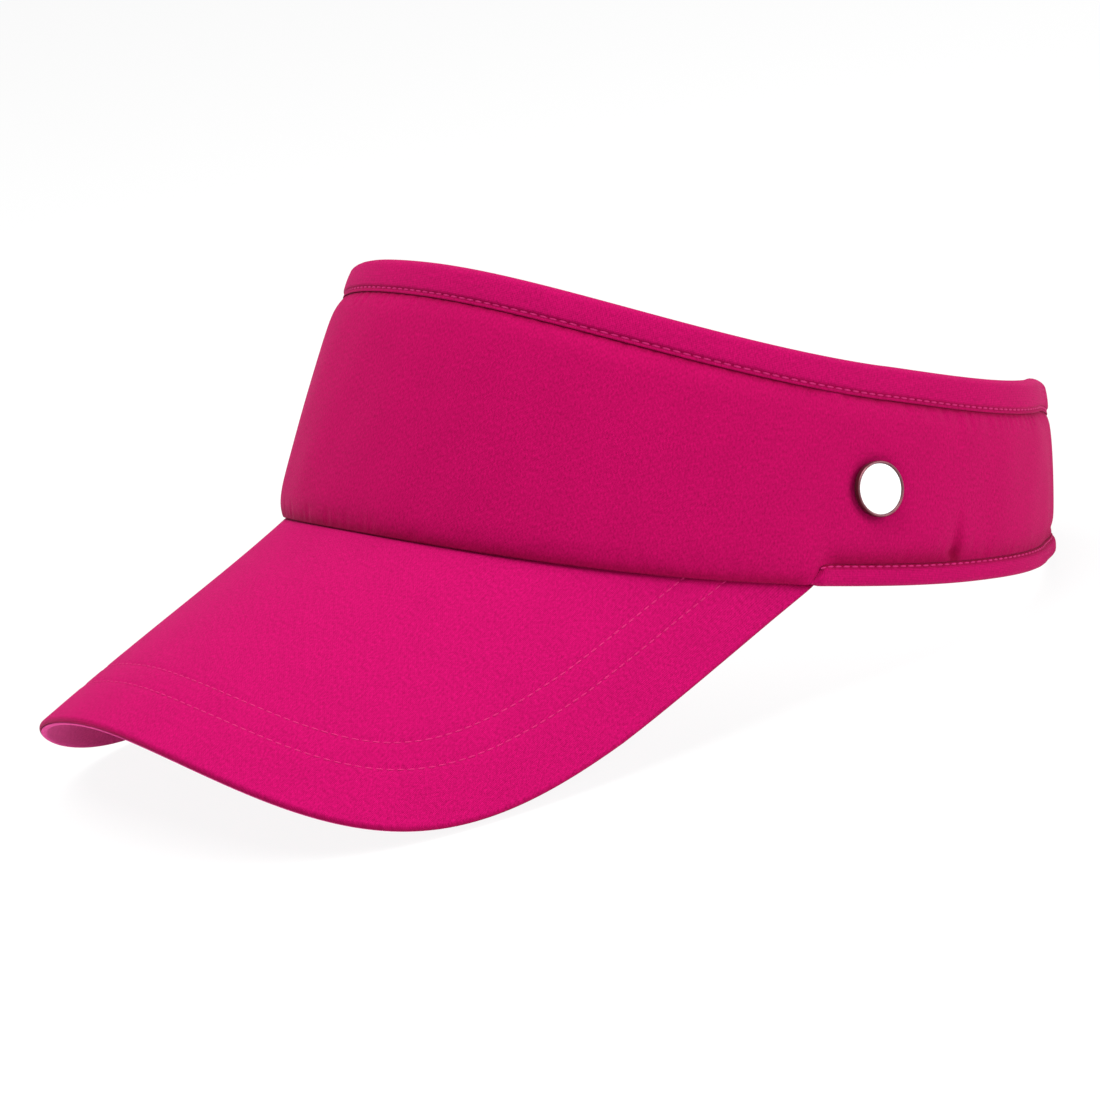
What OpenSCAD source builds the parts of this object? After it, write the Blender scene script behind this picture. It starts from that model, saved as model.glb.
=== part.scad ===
// Padded sun visor: a foam-filled head band, a stiffened brim sewn into its lower seam, bound
// edges, a hook-and-loop tab at the back and a small round badge over the left temple.
//
// Millimetres. The origin is the middle of the head opening, level with the band's lower edge.
// +Z is up, the front of the visor faces -Y and +X is the wearer's left. The band is pitched as
// it sits on an upright head, so the brim's corners and the back of the band share one level.

/* [Band] */
// Outside length of the band's lower edge, front to back
band_len = 206; // [190:1:222]
// Outside width of the band's lower edge, temple to temple
band_wid = 167.8; // [154:0.2:180]
// Squareness of the band seen from above, where 2 is an ellipse
plan_power = 2.24; // [2.05:0.01:2.5]
// How far the lower edge rises at the front and back, and dips at the temples
edge_saddle = 2.9; // [0:0.1:6]
// Height of the top edge at the front
top_front = 70; // [58:0.5:82]
// Height of the top edge at the temples
top_side = 50.8; // [42:0.2:60]
// Height of the top edge at the back
top_back = 48.4; // [44:0.2:58]
// How far the top edge drops further where the straps narrow towards the closure
strap_drop = 4.5; // [0:0.25:7]
// Angle from the front at which the straps start to narrow
drop_angle = 138; // [125:1:145]
// Angle over which the straps narrow
drop_span = 30; // [20:1:36]
// How far the band leans in at the front
lean_front = 17; // [6:0.5:24]
// How far the band leans in at each temple
lean_side = 7; // [2:0.5:12]
// How far the band leans in at the back
lean_back = 4.8; // [1:0.2:10]
// How far the padding crowns the band outwards halfway up
crown = 3.3; // [1.5:0.1:5]
// Lift of the front of the band as worn, in degrees
worn_pitch = 15.8; // [8:0.2:20]

/* [Plies] */
// Thickness of the band's outer cloth
shell_t = 0.8; // [0.5:0.05:1.2]
// Thickness of the band's lining
lining_t = 0.7; // [0.4:0.05:1]
// Thickness of the brim's cloth covers
cover_t = 0.7; // [0.4:0.05:1]
// Thickness of the towelling sweatband
sweat_t = 1.3; // [0.8:0.1:2.5]
// Height of the sweatband
sweat_w = 32; // [20:1:40]
// Half of the angle that the sweatband covers at the front
sweat_angle = 72; // [50:1:78]
// Half of the angle that the foam pad covers
pad_angle = 104; // [98:1:116]
// Angle over which the foam pad is skived thin at each end
pad_taper = 6; // [4:0.5:10]
// Room between neighbouring plies
ply_gap = 0.1; // [0.08:0.01:0.15]
// Room round the foam pad
pad_gap = 0.2; // [0.15:0.05:0.4]

/* [Bindings] */
// Thickness of the binding tape
bind_t = 0.6; // [0.4:0.05:0.8]
// Width of the top binding on each face
bind_w = 8.5; // [6:0.25:11]
// Width of the lower hem behind the brim
hem_w = 5; // [3.5:0.25:7]
// Angle between the end of the brim's seam and the start of the hem
hem_lead = 1.5; // [1:0.25:3]

/* [Brim] */
// Reach of the brim in front of the band
brim_out = 83.4; // [64:0.5:92]
// Slope of the brim below the band's lower edge, in degrees
brim_pitch = 34.6; // [26:0.2:42]
// Radius of the brim's arch at the seam
arch_r = 91.2; // [87:0.2:115]
// Radius of the brim's arch at the front edge
arch_r_front = 88.9; // [86:0.1:120]
// Angle round the band where each end of the brim is sewn in
brim_angle = 81; // [74:0.5:85]
// Squareness of the brim's outline at its sides
side_power = 2.57; // [2:0.01:3.2]
// Squareness of the brim's outline at its front
front_power = 5.08; // [2.5:0.02:6]
// Rise of the brim between its seam and its edge
brim_bow = 1.2; // [0:0.1:3]
// Thickness of the brim's board
board_t = 1; // [0.8:0.1:2.5]
// Width of the brim's seam allowance inside the band
flange_w = 7; // [5:0.5:9]

/* [Closure] */
// Angle of the fold line of the closure tab, from the front round the wearer's left
fold_angle = 154; // [150:1:158]
// Angle at which the closure tab ends, past the middle of the back
tab_angle = 202; // [194:1:210]
// Angle of the right strap's end, under the tab
under_angle = 166; // [164:1:172]
// Angle before the fold at which the left strap starts to step out over the right one
lift_lead = 15; // [12:1:20]
// Angle between the end of that step and the right strap's end
lift_tail = 6; // [4:0.5:8]
// Corner radius of the tab
tab_corner = 12; // [10:0.5:15]
// Thickness of the hook tape
hook_t = 1.1; // [0.8:0.1:1.6]
// Thickness of the loop tape
loop_t = 1.1; // [0.8:0.1:1.6]
// Room between the hook and loop tapes
close_gap = 0.5; // [0.4:0.05:0.8]
// Room between the strap and the tab along the fold
fold_gap = 0.3; // [0.2:0.05:0.6]

/* [Badge] */
// Angle of the badge from the front, round the wearer's left
badge_angle = 89; // [85:0.5:96]
// Height of the badge above the lower edge, along the band
badge_up = 24; // [18:0.5:32]
// Outside diameter of the badge's metal rim
badge_d = 13.9; // [10:0.1:18]
// Depth of the metal rim
badge_h = 1.9; // [1.7:0.1:2.6]
// Width of the rim's visible edge
badge_edge = 0.55; // [0.5:0.05:1.2]
// Thickness of the dish under the badge's face
badge_floor = 0.6; // [0.4:0.05:0.8]
// Thickness of the badge's face
face_t = 0.9; // [0.6:0.05:1.2]
// Diameter of the rivet's shank
shank_d = 3; // [2:0.1:4]
// Diameter of the rivet's clinched head
clinch_d = 5.4; // [4.6:0.1:6.4]
// Height of the rivet's clinched head
clinch_h = 0.7; // [0.4:0.05:1]
// Diameter of the backing washer
backing_d = 9; // [7:0.1:12]
// Thickness of the backing washer
backing_t = 0.8; // [0.5:0.05:1.2]
// Room round the rivet's shank and the badge's face
rivet_gap = 0.1; // [0.05:0.01:0.15]
// Room between a flat washer or badge and the curved cloth it sits on
seat_gap = 0.15; // [0.1:0.05:0.3]

/* [Hidden] */
$fn = 64;

// Colours
CLOTH = [0.76, 0.07, 0.38];
CLOTH_BRIM = [0.85, 0.11, 0.45];
CLOTH_UNDER = [0.58, 0.16, 0.37];
TAPE = [0.79, 0.1, 0.41];
TOWELLING = [0.7, 0.1, 0.36];
FOAM = [0.93, 0.9, 0.82];
BOARD = [0.86, 0.86, 0.84];
HOOKS = [0.5, 0.06, 0.26];
GUNMETAL = [0.28, 0.24, 0.24];
ENAMEL = [0.97, 0.97, 0.97];
STEEL = [0.75, 0.75, 0.77];

// Faceting: steps round the straps and the brim, rows up the band, shares of the brim's reach
strap_step = 6;
brim_steps = 17;
brim_tip = 0.985;
mid_rows = 4;
brim_rows = [1, 0.86, 0.66, 0.46, 0.26, 0.12];
corner_steps = 5;
end_steps = 3;
crown_power = 0.7;
probe = 0.002;

// Sizes that follow from the ones above
half_len = band_len / 2;
half_wid = band_wid / 2;
top_half_len = half_len - (lean_front + lean_back) / 2;
top_half_wid = half_wid - lean_side;
top_shift = (lean_front - lean_back) / 2;
top_ends = (top_front + top_back) / 2;
top_mean = (top_ends + top_side) / 2;
top_saddle = (top_ends - top_side) / 2;
top_tilt = (top_front - top_back) / 2;
flange_t = 2 * cover_t + ply_gap;
wall_t = lining_t + flange_t + shell_t + 2 * ply_gap;
strap_t = shell_t + lining_t + ply_gap;
bind_room = bind_t + ply_gap;
seam_off = wall_t - shell_t - ply_gap;
brim_t = 2 * cover_t + board_t + 2 * ply_gap;
lip_d = (brim_t - ply_gap) / 2;
flap_lift = strap_t + hook_t + loop_t + 2 * ply_gap + close_gap;
lift_start = fold_angle - lift_lead;
lift_end = under_angle - lift_tail;
hem_start = brim_angle + hem_lead;
edge_room = bind_room + ply_gap;

function smooth(x) = let (c = min(max(x, 0), 1)) c * c * (3 - 2 * c);
function mix(p, q, k) = p + (q - p) * k;
function unit(v) = v / norm(v);
function spow(v, p) = sign(v) * pow(abs(v), p);

// The band's wall. An angle runs from the front round the wearer's left, a height runs up the
// wall from the lower edge, and an offset runs outwards from the lining's inner face.
function round_back(a) = 180 - abs(180 - abs(a));
function narrowed(a) = strap_drop * smooth((round_back(a) - drop_angle) / drop_span);
function lower(a) = [
  half_wid * spow(sin(a), 2 / plan_power),
  -half_len * spow(cos(a), 2 / plan_power),
  edge_saddle * cos(2 * a)
];
function upper(a) = [
  top_half_wid * spow(sin(a), 2 / plan_power),
  top_shift - top_half_len * spow(cos(a), 2 / plan_power),
  top_mean + top_tilt * cos(a) + top_saddle * cos(2 * a) - narrowed(a)
];
function outward(a) = unit([sin(a) / half_wid, -cos(a) / half_len, 0]);
function rise(a) = unit(upper(a) - lower(a));
function slant(a) = norm(upper(a) - lower(a));
function wall(a, s, off) = lower(a) + rise(a) * s + outward(a) * (off - wall_t);

// Crown of the padding, which a hem holds up to the edge, lift of the tab over the right strap,
// and thinning into the straps
function swell(a, s) =
  let (t = max(s, hem_w * hemmed(a)) / slant(a))
  crown * pow(max(4 * t * (1 - t), 0), crown_power);
function lift(a) = flap_lift * smooth((a - lift_start) / (lift_end - lift_start));
function thin(a) = smooth((abs(a) - pad_angle + pad_taper) / (2 * pad_taper));
function face_out(a, s) = wall_t + swell(a, s) + lift(a);
function face_in(a, s) = thin(a) * swell(a, s) + lift(a);
function lining_in(a, s) = thin(a) * (face_out(a, s) - strap_t);

// 0 where the brim is sewn in and 1 where the lower edge is bound
function hemmed(a) = min(max((abs(a) - brim_angle) / (hem_start - brim_angle), 0), 1);

// Angles of the sections, shared by every ply so that neighbouring plies nest
function steps(from, to) =
  let (n = max(1, ceil(abs(to - from) / strap_step - 0.01)))
  [for (i = [0 : n]) mix(from, to, i / n)];
function back_to_front(list) = [for (i = [len(list) - 1 : -1 : 0]) list[i]];
brim_us = [for (i = [-brim_steps : brim_steps]) brim_tip * i / brim_steps];
brim_as = brim_us * brim_angle;
pad_as = steps(hem_start, pad_angle);
left_as = concat(pad_as, [for (a = steps(pad_angle, fold_angle)) if (a > pad_angle) a]);
right_as = concat(
  [for (a = steps(under_angle - 360, -pad_angle)) if (a < -pad_angle) a],
  back_to_front(-pad_as)
);
band_as = concat(right_as, brim_as, left_as);
foam_as = [for (a = band_as) if (abs(a) <= pad_angle) a];
sweat_as = [for (a = brim_as) if (abs(a) <= sweat_angle) a];

// A solid between two matching grids of points, of which the first faces outwards. Its faces are
// cut along the other diagonal from a given row on, so that a folded tape matches both plies.
function quad(a, b, c, d) = [[a, b, c], [a, c, d]];
module slab(front, back, fold_row = undef) {
  n = len(front);
  m = len(front[0]);
  k = n * m;
  skins = [
    for (i = [0 : n - 2], j = [0 : m - 2])
      let (p = i * m + j, q = p + m, past = !is_undef(fold_row) && j >= fold_row)
      each past
        ? concat(quad(p + 1, q + 1, q, p), quad(k + q, k + q + 1, k + p + 1, k + p))
        : concat(quad(p, p + 1, q + 1, q), quad(k + p, k + q, k + q + 1, k + p + 1))
  ];
  sides = [
    for (i = [0 : n - 2])
      let (p = i * m, q = i * m + m - 1)
      each concat(quad(p, p + m, k + p + m, k + p), quad(q + m, q, k + q, k + q + m))
  ];
  ends = [
    for (j = [0 : m - 2])
      let (q = (n - 1) * m + j)
      each concat(quad(j + 1, j, k + j, k + j + 1), quad(q, q + 1, k + q + 1, k + q))
  ];
  polyhedron(points = [for (g = [front, back], r = g) each r], faces = concat(skins, sides, ends));
}

// Heights of the rows of the band's cloth: the hem, the free middle and the top binding
last_row = mid_rows + 4;
function cloth_rows(a, foot) =
  let (
    low = hem_w + ply_gap,
    high = slant(a) - bind_w - ply_gap
  )
  concat(
    [foot, low],
    [for (i = [0 : mid_rows]) mix(low + bind_room, high - bind_room, i / mid_rows)],
    [high, slant(a) - edge_room]
  );
function band_rows(a) = cloth_rows(a, mix(ply_gap, edge_room, hemmed(a)));
function middle(rows) = [for (j = [2 : last_row - 2]) rows[j]];
function bound(j, low) = j < 2 ? low : j > last_row - 2 ? 1 : 0;

// Outer face of the cloth and inner face of the lining, both stepped in under the bindings
function shell_off(a, s, b) = face_out(a, s) - b * bind_room;
function lining_off(a, s, b) = mix(lining_in(a, s), face_in(a, s) + bind_room, b);

function shell_grid(depth) = [
  for (a = band_as)
    let (rows = band_rows(a))
    [for (j = [0 : last_row]) wall(a, rows[j], shell_off(a, rows[j], bound(j, hemmed(a))) - depth)]
];
function lining_grid(depth) = [
  for (a = band_as)
    let (rows = band_rows(a))
    [for (j = [0 : last_row]) wall(a, rows[j], lining_off(a, rows[j], bound(j, hemmed(a))) + depth)]
];

module band_shell() {
  color(CLOTH) difference() {
    slab(shell_grid(0), shell_grid(shell_t));
    shank_hole();
  }
}

module band_lining() {
  color(CLOTH_UNDER) difference() {
    slab(lining_grid(lining_t), lining_grid(0));
    shank_hole();
  }
}

// The foam starts above the brim's seam allowance and ends below the top binding
function foam_grid(outer) = [
  for (a = foam_as)
    let (rows = middle(band_rows(a)), low = max(flange_w + pad_gap, rows[0]))
    [
      for (i = [0 : mid_rows])
        let (s = i == 0 ? low : rows[i])
        wall(a, s, outer ? face_out(a, s) - shell_t - pad_gap : lining_in(a, s) + lining_t + ply_gap)
    ]
];
module band_foam() {
  color(FOAM) difference() {
    slab(foam_grid(true), foam_grid(false));
    shank_hole();
  }
}

// The towelling is thinner along its sewn edges
function sweat_grid(inner) = [
  for (a = sweat_as) [
    for (k = [[0, 0.4], [0.1, 1], [0.9, 1], [1, 0.4]])
      wall(a, sweat_t + k[0] * sweat_w, -ply_gap - (inner ? k[1] * sweat_t : 0))
  ]
];
module sweatband() {
  color(TOWELLING) slab(sweat_grid(false), sweat_grid(true));
}

// A folded tape round an edge. The place of a point is a function of its distance from the edge,
// and the profile runs from the outer leg over the edge to the inner leg.
function tape(place, leg, depth) = [
  for (d = [leg, leg / 2, bind_room])
    let (p = place(d))
    wall(p[0], p[1], face_out(p[0], p[1]) - depth),
  for (side = [1, -1])
    let (p = place(depth), half = wall_t / 2 - bind_t / 2 - depth / 2)
    wall(p[0], p[1], face_in(p[0], p[1]) + wall_t / 2 + side * half),
  for (d = [bind_room, leg])
    let (p = place(d))
    wall(p[0], p[1], face_in(p[0], p[1]) + depth)
];
tape_fold = 4;
function top_tape(a, depth) = tape(function (d) [a, slant(a) - d], bind_w, depth);
function hem_tape(a, depth) = tape(function (d) [a, d], hem_w, depth);
module hem(angles) {
  color(TAPE) slab(
    [for (a = back_to_front(angles)) hem_tape(a, 0)],
    [for (a = back_to_front(angles)) hem_tape(a, bind_t)],
    tape_fold
  );
}

module top_binding() {
  color(TAPE) slab(
    [for (a = band_as) top_tape(a, 0)],
    [for (a = band_as) top_tape(a, bind_t)],
    tape_fold
  );
}
module hem_left() {
  hem(left_as);
}
module hem_right() {
  hem(right_as);
}

// The brim's top face: a cylinder-like arch that runs forwards and down from the lower seam.
// Along runs from one temple to the other, out runs from the seam to the edge.
brim_fwd = [0, -cos(brim_pitch), -sin(brim_pitch)];
brim_up = [0, -sin(brim_pitch), cos(brim_pitch)];
brim_root = wall(0, 0, seam_off);
function seam(u) = wall(u * brim_angle, 0, seam_off) - brim_root;
function arch(s) = mix(arch_r, arch_r_front, max(s, 0) / brim_out);
function seam_s(u) = seam(u) * brim_fwd;
function seam_turn(u) = asin(seam(u)[0] / arch(seam_s(u)));
function seam_rest(u) = seam(u) * brim_up + arch(seam_s(u)) * (1 - cos(seam_turn(u)));
tip = wall(brim_angle, 0, wall_t) - brim_root;
end_s = tip * brim_fwd;
end_turn = asin(tip[0] / arch(end_s));
function edge_turn(u) = end_turn * sign(u) * pow(1 - pow(cos(90 * u), front_power), 1 / side_power);
function edge_s(u) = mix(end_s, brim_out, cos(90 * u));
function brim(u, v) =
  let (
    turn = mix(seam_turn(u), edge_turn(u), v),
    s = mix(seam_s(u), edge_s(u), v),
    sag = arch(s) * (1 - cos(turn)),
    bow = brim_bow * (edge_s(u) - seam_s(u)) / brim_out,
    ease = seam_rest(u) * pow(1 - v, 2) + bow * 4 * v * (1 - v)
  )
  brim_root + [arch(s) * sin(turn), 0, 0] + brim_fwd * s + brim_up * (ease - sag);

// Directions on the brim: along it, away from its top face, and out of its edge
function brim_along(u, v) = unit(brim(u + probe, v) - brim(u - probe, v));
function brim_n(u, v) =
  let (w = min(max(v, probe), 1 - probe))
  unit(cross(brim(u, w + probe) - brim(u, w - probe), brim_along(u, v)));
function edge_out(u) = unit(cross(brim_along(u, 1), brim_n(u, 1)));

// A point below the top face, drawn in from the rim to lie inside the turned edge
edge_in = cover_t + 2 * ply_gap;
function under(u, v, d) = brim(u, v) - edge_out(u) * edge_in * v - brim_n(u, v) * d;
// Where the brim's face and the wall's ply, both moved in by the same depth, meet at the seam
function mitre(u, d) =
  let (
    o = outward(u * brim_angle),
    r = rise(u * brim_angle),
    w = unit(o - r * (o * r)),
    n = brim_n(u, 0),
    c = n * w,
    k = d * (o * w - c) / (1 - c * c)
  )
  brim(u, 0) - n * (d - k * c) - w * k;

// Rows of a cover from its turned lip to its seam allowance, for one face of the cloth
function cover_rows(u, lip, face, seam_d, hem_in) =
  let (edge = brim(u, 1) - edge_out(u) * hem_in, n = brim_n(u, 1))
  concat(
    [edge - n * lip, edge - n * face],
    [for (r = brim_rows) under(u, r, face)],
    [mitre(u, seam_d), wall(u * brim_angle, flange_w, seam_off - seam_d)]
  );
module brim_top_cover() {
  color(CLOTH_BRIM) slab(
    [for (u = brim_us) cover_rows(u, lip_d, 0, 0, 0)],
    [for (u = brim_us) cover_rows(u, lip_d, cover_t, cover_t, cover_t)]
  );
}
module brim_under_cover() {
  lip = lip_d + ply_gap;
  color(CLOTH_UNDER) slab(
    [for (u = brim_us) cover_rows(u, lip, brim_t - cover_t, flange_t - cover_t, cover_t)],
    [for (u = brim_us) cover_rows(u, lip, brim_t, flange_t, 0)]
  );
}

function board_grid(d) = [for (u = brim_us) [for (r = brim_rows) under(u, r, d)]];
module brim_board() {
  top = cover_t + ply_gap;
  color(BOARD) slab(board_grid(top), board_grid(top + board_t));
}

// The closure tab: the left strap beyond its fold, with a bound end and rounded corners
tab_middle = (fold_angle + tab_angle) / 2;
tab_mm = norm(lower(tab_middle + 0.5) - lower(tab_middle - 0.5));
tab_start = fold_angle + fold_gap / tab_mm;
function to_end(a) = (tab_angle - a) * tab_mm;
function from_end(e) = tab_angle - e / tab_mm;
tab_free_end = from_end(tab_corner + bind_room);
tab_free = concat(
  steps(tab_start, under_angle),
  [for (a = right_as) let (b = a + 360) if (b > under_angle + 1 && b < tab_free_end - 1) b],
  [tab_free_end]
);
tab_tail = [for (i = [corner_steps : -1 : 0]) from_end(mix(edge_room, tab_corner, i / corner_steps))];
tab_as = concat(tab_free, tab_tail);

// The rounded corners draw in the ends of the rows
function corner_in(e) =
  let (c = tab_corner - min(e, tab_corner), r = tab_corner - edge_room)
  tab_corner - sqrt(max(r * r - c * c, 0));
function tab_rows(a) =
  let (
    rows = cloth_rows(a, edge_room),
    low = corner_in(to_end(a)),
    high = slant(a) - low
  )
  [for (s = rows) mix(low, high, (s - rows[0]) / (rows[last_row] - rows[0]))];
function tab_bound(a, j) = a > tab_free_end ? 1 : bound(j, 1);
function tab_shell_grid(depth) = [
  for (a = tab_as)
    let (rows = tab_rows(a))
    [for (j = [0 : last_row]) wall(a, rows[j], shell_off(a, rows[j], tab_bound(a, j)) - depth)]
];
function tab_lining_grid(depth) = [
  for (a = tab_as)
    let (rows = tab_rows(a))
    [for (j = [0 : last_row]) wall(a, rows[j], lining_off(a, rows[j], tab_bound(a, j)) + depth)]
];
module tab_shell() {
  color(CLOTH) slab(tab_shell_grid(0), tab_shell_grid(shell_t));
}
module tab_lining() {
  color(CLOTH_UNDER) slab(tab_lining_grid(lining_t), tab_lining_grid(0));
}

// The tab's tape runs out along the top edge, round the end and back along the lower edge
function top_corner(turn, d) =
  let (r = tab_corner - d, a = from_end(tab_corner - r * sin(turn)))
  [a, slant(a) - tab_corner + r * cos(turn)];
function low_corner(turn, d) =
  let (r = tab_corner - d)
  [from_end(tab_corner - r * sin(turn)), tab_corner - r * cos(turn)];
function end_place(k, d) =
  let (a = from_end(d))
  [a, mix(slant(a) - tab_corner, tab_corner, k)];
function tab_tape(depth) = concat(
  [for (a = tab_free) top_tape(a, depth)],
  [
    for (i = [0 : corner_steps])
      let (turn = 90 * i / corner_steps)
      tape(function (d) top_corner(turn, d), bind_w, depth)
  ],
  [
    for (i = [1 : end_steps - 1])
      let (k = i / end_steps)
      tape(function (d) end_place(k, d), mix(bind_w, hem_w, k), depth)
  ],
  [
    for (i = [corner_steps : -1 : 0])
      let (turn = 90 * i / corner_steps)
      tape(function (d) low_corner(turn, d), hem_w, depth)
  ],
  [for (a = back_to_front(tab_free)) hem_tape(a, depth)]
);
module tab_binding() {
  color(TAPE) slab(tab_tape(0), tab_tape(bind_t), tape_fold);
}

// Hook tape inside the tab and loop tape outside the right strap
function hook_grid(depth) = [
  for (a = [for (b = tab_free) if (b > under_angle + 1) b])
    [for (s = middle(tab_rows(a))) wall(a, s, lining_in(a, s) - ply_gap - depth)]
];
module hook_patch() {
  color(HOOKS) slab(hook_grid(0), hook_grid(hook_t));
}
function loop_grid(depth) = [
  for (a = [for (b = right_as) if (b <= tab_angle - 360) b])
    [for (s = middle(band_rows(a))) wall(a, s, face_out(a, s) + ply_gap + depth)]
];
module loop_patch() {
  color(HOOKS) slab(loop_grid(loop_t), loop_grid(0));
}

// The badge stands square on the crowned cloth, and its rivet passes through every ply
function band_face(a, s) = wall(a, s, face_out(a, s));
badge_at = band_face(badge_angle, badge_up);
badge_n = unit(cross(
  band_face(badge_angle + 1, badge_up) - band_face(badge_angle - 1, badge_up),
  band_face(badge_angle, badge_up + 1) - band_face(badge_angle, badge_up - 1)
));
badge_stack = face_out(badge_angle, badge_up) * (outward(badge_angle) * badge_n) + 2 * seat_gap;
module on_badge() {
  translate(badge_at + badge_n * seat_gap)
    rotate([0, acos(badge_n[2]), atan2(badge_n[1], badge_n[0])])
      children();
}
module shank_hole() {
  on_badge() translate([0, 0, -2 * badge_stack])
    cylinder(d = shank_d + 2 * rivet_gap, h = 3 * badge_stack);
}

module badge_rim() {
  r = badge_d / 2;
  inner = r - badge_edge;
  bevel = badge_edge / 2;
  color(GUNMETAL) on_badge() rotate_extrude() polygon([
    [0, 0], [r - bevel, 0], [r, bevel], [r, badge_h - bevel], [r - bevel, badge_h],
    [inner, badge_h], [inner, badge_floor], [0, badge_floor]
  ]);
}
module badge_face() {
  r = badge_d / 2 - badge_edge - rivet_gap;
  bevel = face_t / 3;
  color(ENAMEL) on_badge() translate([0, 0, badge_floor]) rotate_extrude() polygon([
    [0, 0], [r, 0], [r, face_t - bevel], [r - bevel, face_t], [0, face_t]
  ]);
}
module badge_rivet() {
  deep = badge_stack + backing_t;
  color(GUNMETAL) on_badge() translate([0, 0, -deep - clinch_h]) {
    cylinder(d = shank_d, h = deep + clinch_h);
    cylinder(d1 = clinch_d - clinch_h, d2 = clinch_d, h = clinch_h);
  }
}
module badge_backing() {
  color(STEEL) on_badge() translate([0, 0, -badge_stack - backing_t]) difference() {
    cylinder(d = backing_d, h = backing_t);
    translate([0, 0, -backing_t]) cylinder(d = shank_d + 2 * rivet_gap, h = 3 * backing_t);
  }
}

// The whole visor is pitched as worn
module worn() {
  rotate([-worn_pitch, 0, 0]) children();
}

worn() band_shell();
worn() band_foam();
worn() band_lining();
worn() sweatband();
worn() top_binding();
worn() hem_left();
worn() hem_right();
worn() brim_board();
worn() brim_top_cover();
worn() brim_under_cover();
worn() loop_patch();
worn() tab_shell();
worn() tab_lining();
worn() tab_binding();
worn() hook_patch();
worn() badge_rim();
worn() badge_face();
worn() badge_rivet();
worn() badge_backing();
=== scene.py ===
"""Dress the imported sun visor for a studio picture.

The band, its tapes, the brim and the closure are drawn again as fine cloth on the same formulas as the
solids, in metres and in the frame of the solids.  Sizes sit in one dataclass per sub-assembly, finishes
in small frozen classes, and everything sewn or tufted is repeated by Geometry Nodes.
"""

import logging
import math
from dataclasses import dataclass, field
from enum import Enum, IntEnum
from functools import lru_cache
from typing import Sequence

import bpy
import numpy as np
from mathutils import Matrix, Vector


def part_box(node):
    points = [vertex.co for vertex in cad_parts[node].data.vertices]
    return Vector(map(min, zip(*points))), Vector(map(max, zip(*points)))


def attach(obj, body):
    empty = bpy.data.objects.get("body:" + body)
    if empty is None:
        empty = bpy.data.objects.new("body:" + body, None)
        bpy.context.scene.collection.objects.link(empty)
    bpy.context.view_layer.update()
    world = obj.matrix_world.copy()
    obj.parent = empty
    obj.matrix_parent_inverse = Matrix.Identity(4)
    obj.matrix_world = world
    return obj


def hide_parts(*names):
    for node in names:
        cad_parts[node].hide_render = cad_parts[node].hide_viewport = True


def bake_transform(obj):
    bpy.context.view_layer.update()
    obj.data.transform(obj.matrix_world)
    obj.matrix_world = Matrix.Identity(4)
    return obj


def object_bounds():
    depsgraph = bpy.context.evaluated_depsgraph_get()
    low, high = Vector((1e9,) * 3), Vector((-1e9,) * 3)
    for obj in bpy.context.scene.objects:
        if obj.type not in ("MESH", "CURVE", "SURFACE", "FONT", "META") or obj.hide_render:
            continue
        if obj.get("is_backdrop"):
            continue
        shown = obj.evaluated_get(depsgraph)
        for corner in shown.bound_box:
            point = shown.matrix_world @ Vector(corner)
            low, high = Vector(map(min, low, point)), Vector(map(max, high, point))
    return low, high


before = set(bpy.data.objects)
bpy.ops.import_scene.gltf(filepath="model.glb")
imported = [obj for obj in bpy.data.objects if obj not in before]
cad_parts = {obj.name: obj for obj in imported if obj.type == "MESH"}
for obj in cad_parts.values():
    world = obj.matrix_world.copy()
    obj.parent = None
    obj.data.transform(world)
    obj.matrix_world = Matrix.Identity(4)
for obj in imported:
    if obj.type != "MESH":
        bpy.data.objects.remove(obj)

LOG = logging.getLogger("visor")
MM = 0.001
UV_NAME = "cloth"
# Point attribute of painted shade, darkest in creases and seams, which the cloth materials mix towards a
# dark colour.
PAINTED_SHADE_NAME = "crease"
OUT_NAME = "out"

Array = np.ndarray
Colour = tuple[float, float, float]
Point = tuple[float, float, float]
Row = tuple[np.ndarray, np.ndarray]


class Body(str, Enum):
    """The two rigid bodies that the joint joins."""

    VISOR = "visor"
    TAB = "tab"


class Slot(str, Enum):
    """Material slots of the visor."""

    SHELL = "shell_cloth"
    LINING = "lining_cloth"
    TOWEL = "towelling"
    BINDING = "binding_tape"
    BOARD = "board"
    BRIM = "brim_cloth"
    UNDER = "under_cloth"
    LOOP = "loop_tape"
    HOOK = "hook_tape"
    METAL = "badge_metal"
    FACE = "badge_face"
    STEEL = "rivet_steel"


class Side(Enum):
    """Which way a hem runs round the band."""

    LEFT = 1
    RIGHT = -1


class Station(IntEnum):
    """Columns of a table of stations along a bound edge.

    TURN and RISE are the changes of angle and height per metre in from the edge, LEG is the width of the
    tape's leg, PUFF how far it bulges and SEWN the distance of its stitches from the leg's end.
    """

    ANGLE = 0
    TURN = 1
    HEIGHT = 2
    RISE = 3
    LEG = 4
    PUFF = 5
    SEWN = 6

    def of(self, stations: Array) -> Array:
        """Return this column of a table, upright."""
        return stations[:, self.value, None]


# Small array helpers.


def smooth(x: Array) -> Array:
    """Return a smooth step of x between 0 and 1."""
    x = np.clip(x, 0.0, 1.0)
    return x * x * (3.0 - 2.0 * x)


def bell(x: Array) -> Array:
    """Return a bell of height 1 and unit half width."""
    return np.exp(-np.square(x))


def rounded(x: Array, power: float) -> Array:
    """Return a crown over -1 to 1 that is flatter and steeper at its ends with a higher power."""
    return np.sqrt(np.clip(1 - np.abs(x) ** power, 0.0, 1.0))


def spow(x: Array, power: float) -> Array:
    """Return a power that keeps the sign of x."""
    return np.sign(x) * np.abs(x) ** power


def mix(a: Array, b: Array, t: Array) -> Array:
    """Return the value a share t of the way from a to b."""
    return a + (b - a) * t


def vec(x: Array, y: Array, z: Array) -> Array:
    """Return points from three arrays that broadcast together."""
    return np.stack(np.broadcast_arrays(x, y, z), axis=-1).astype(float)


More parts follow.
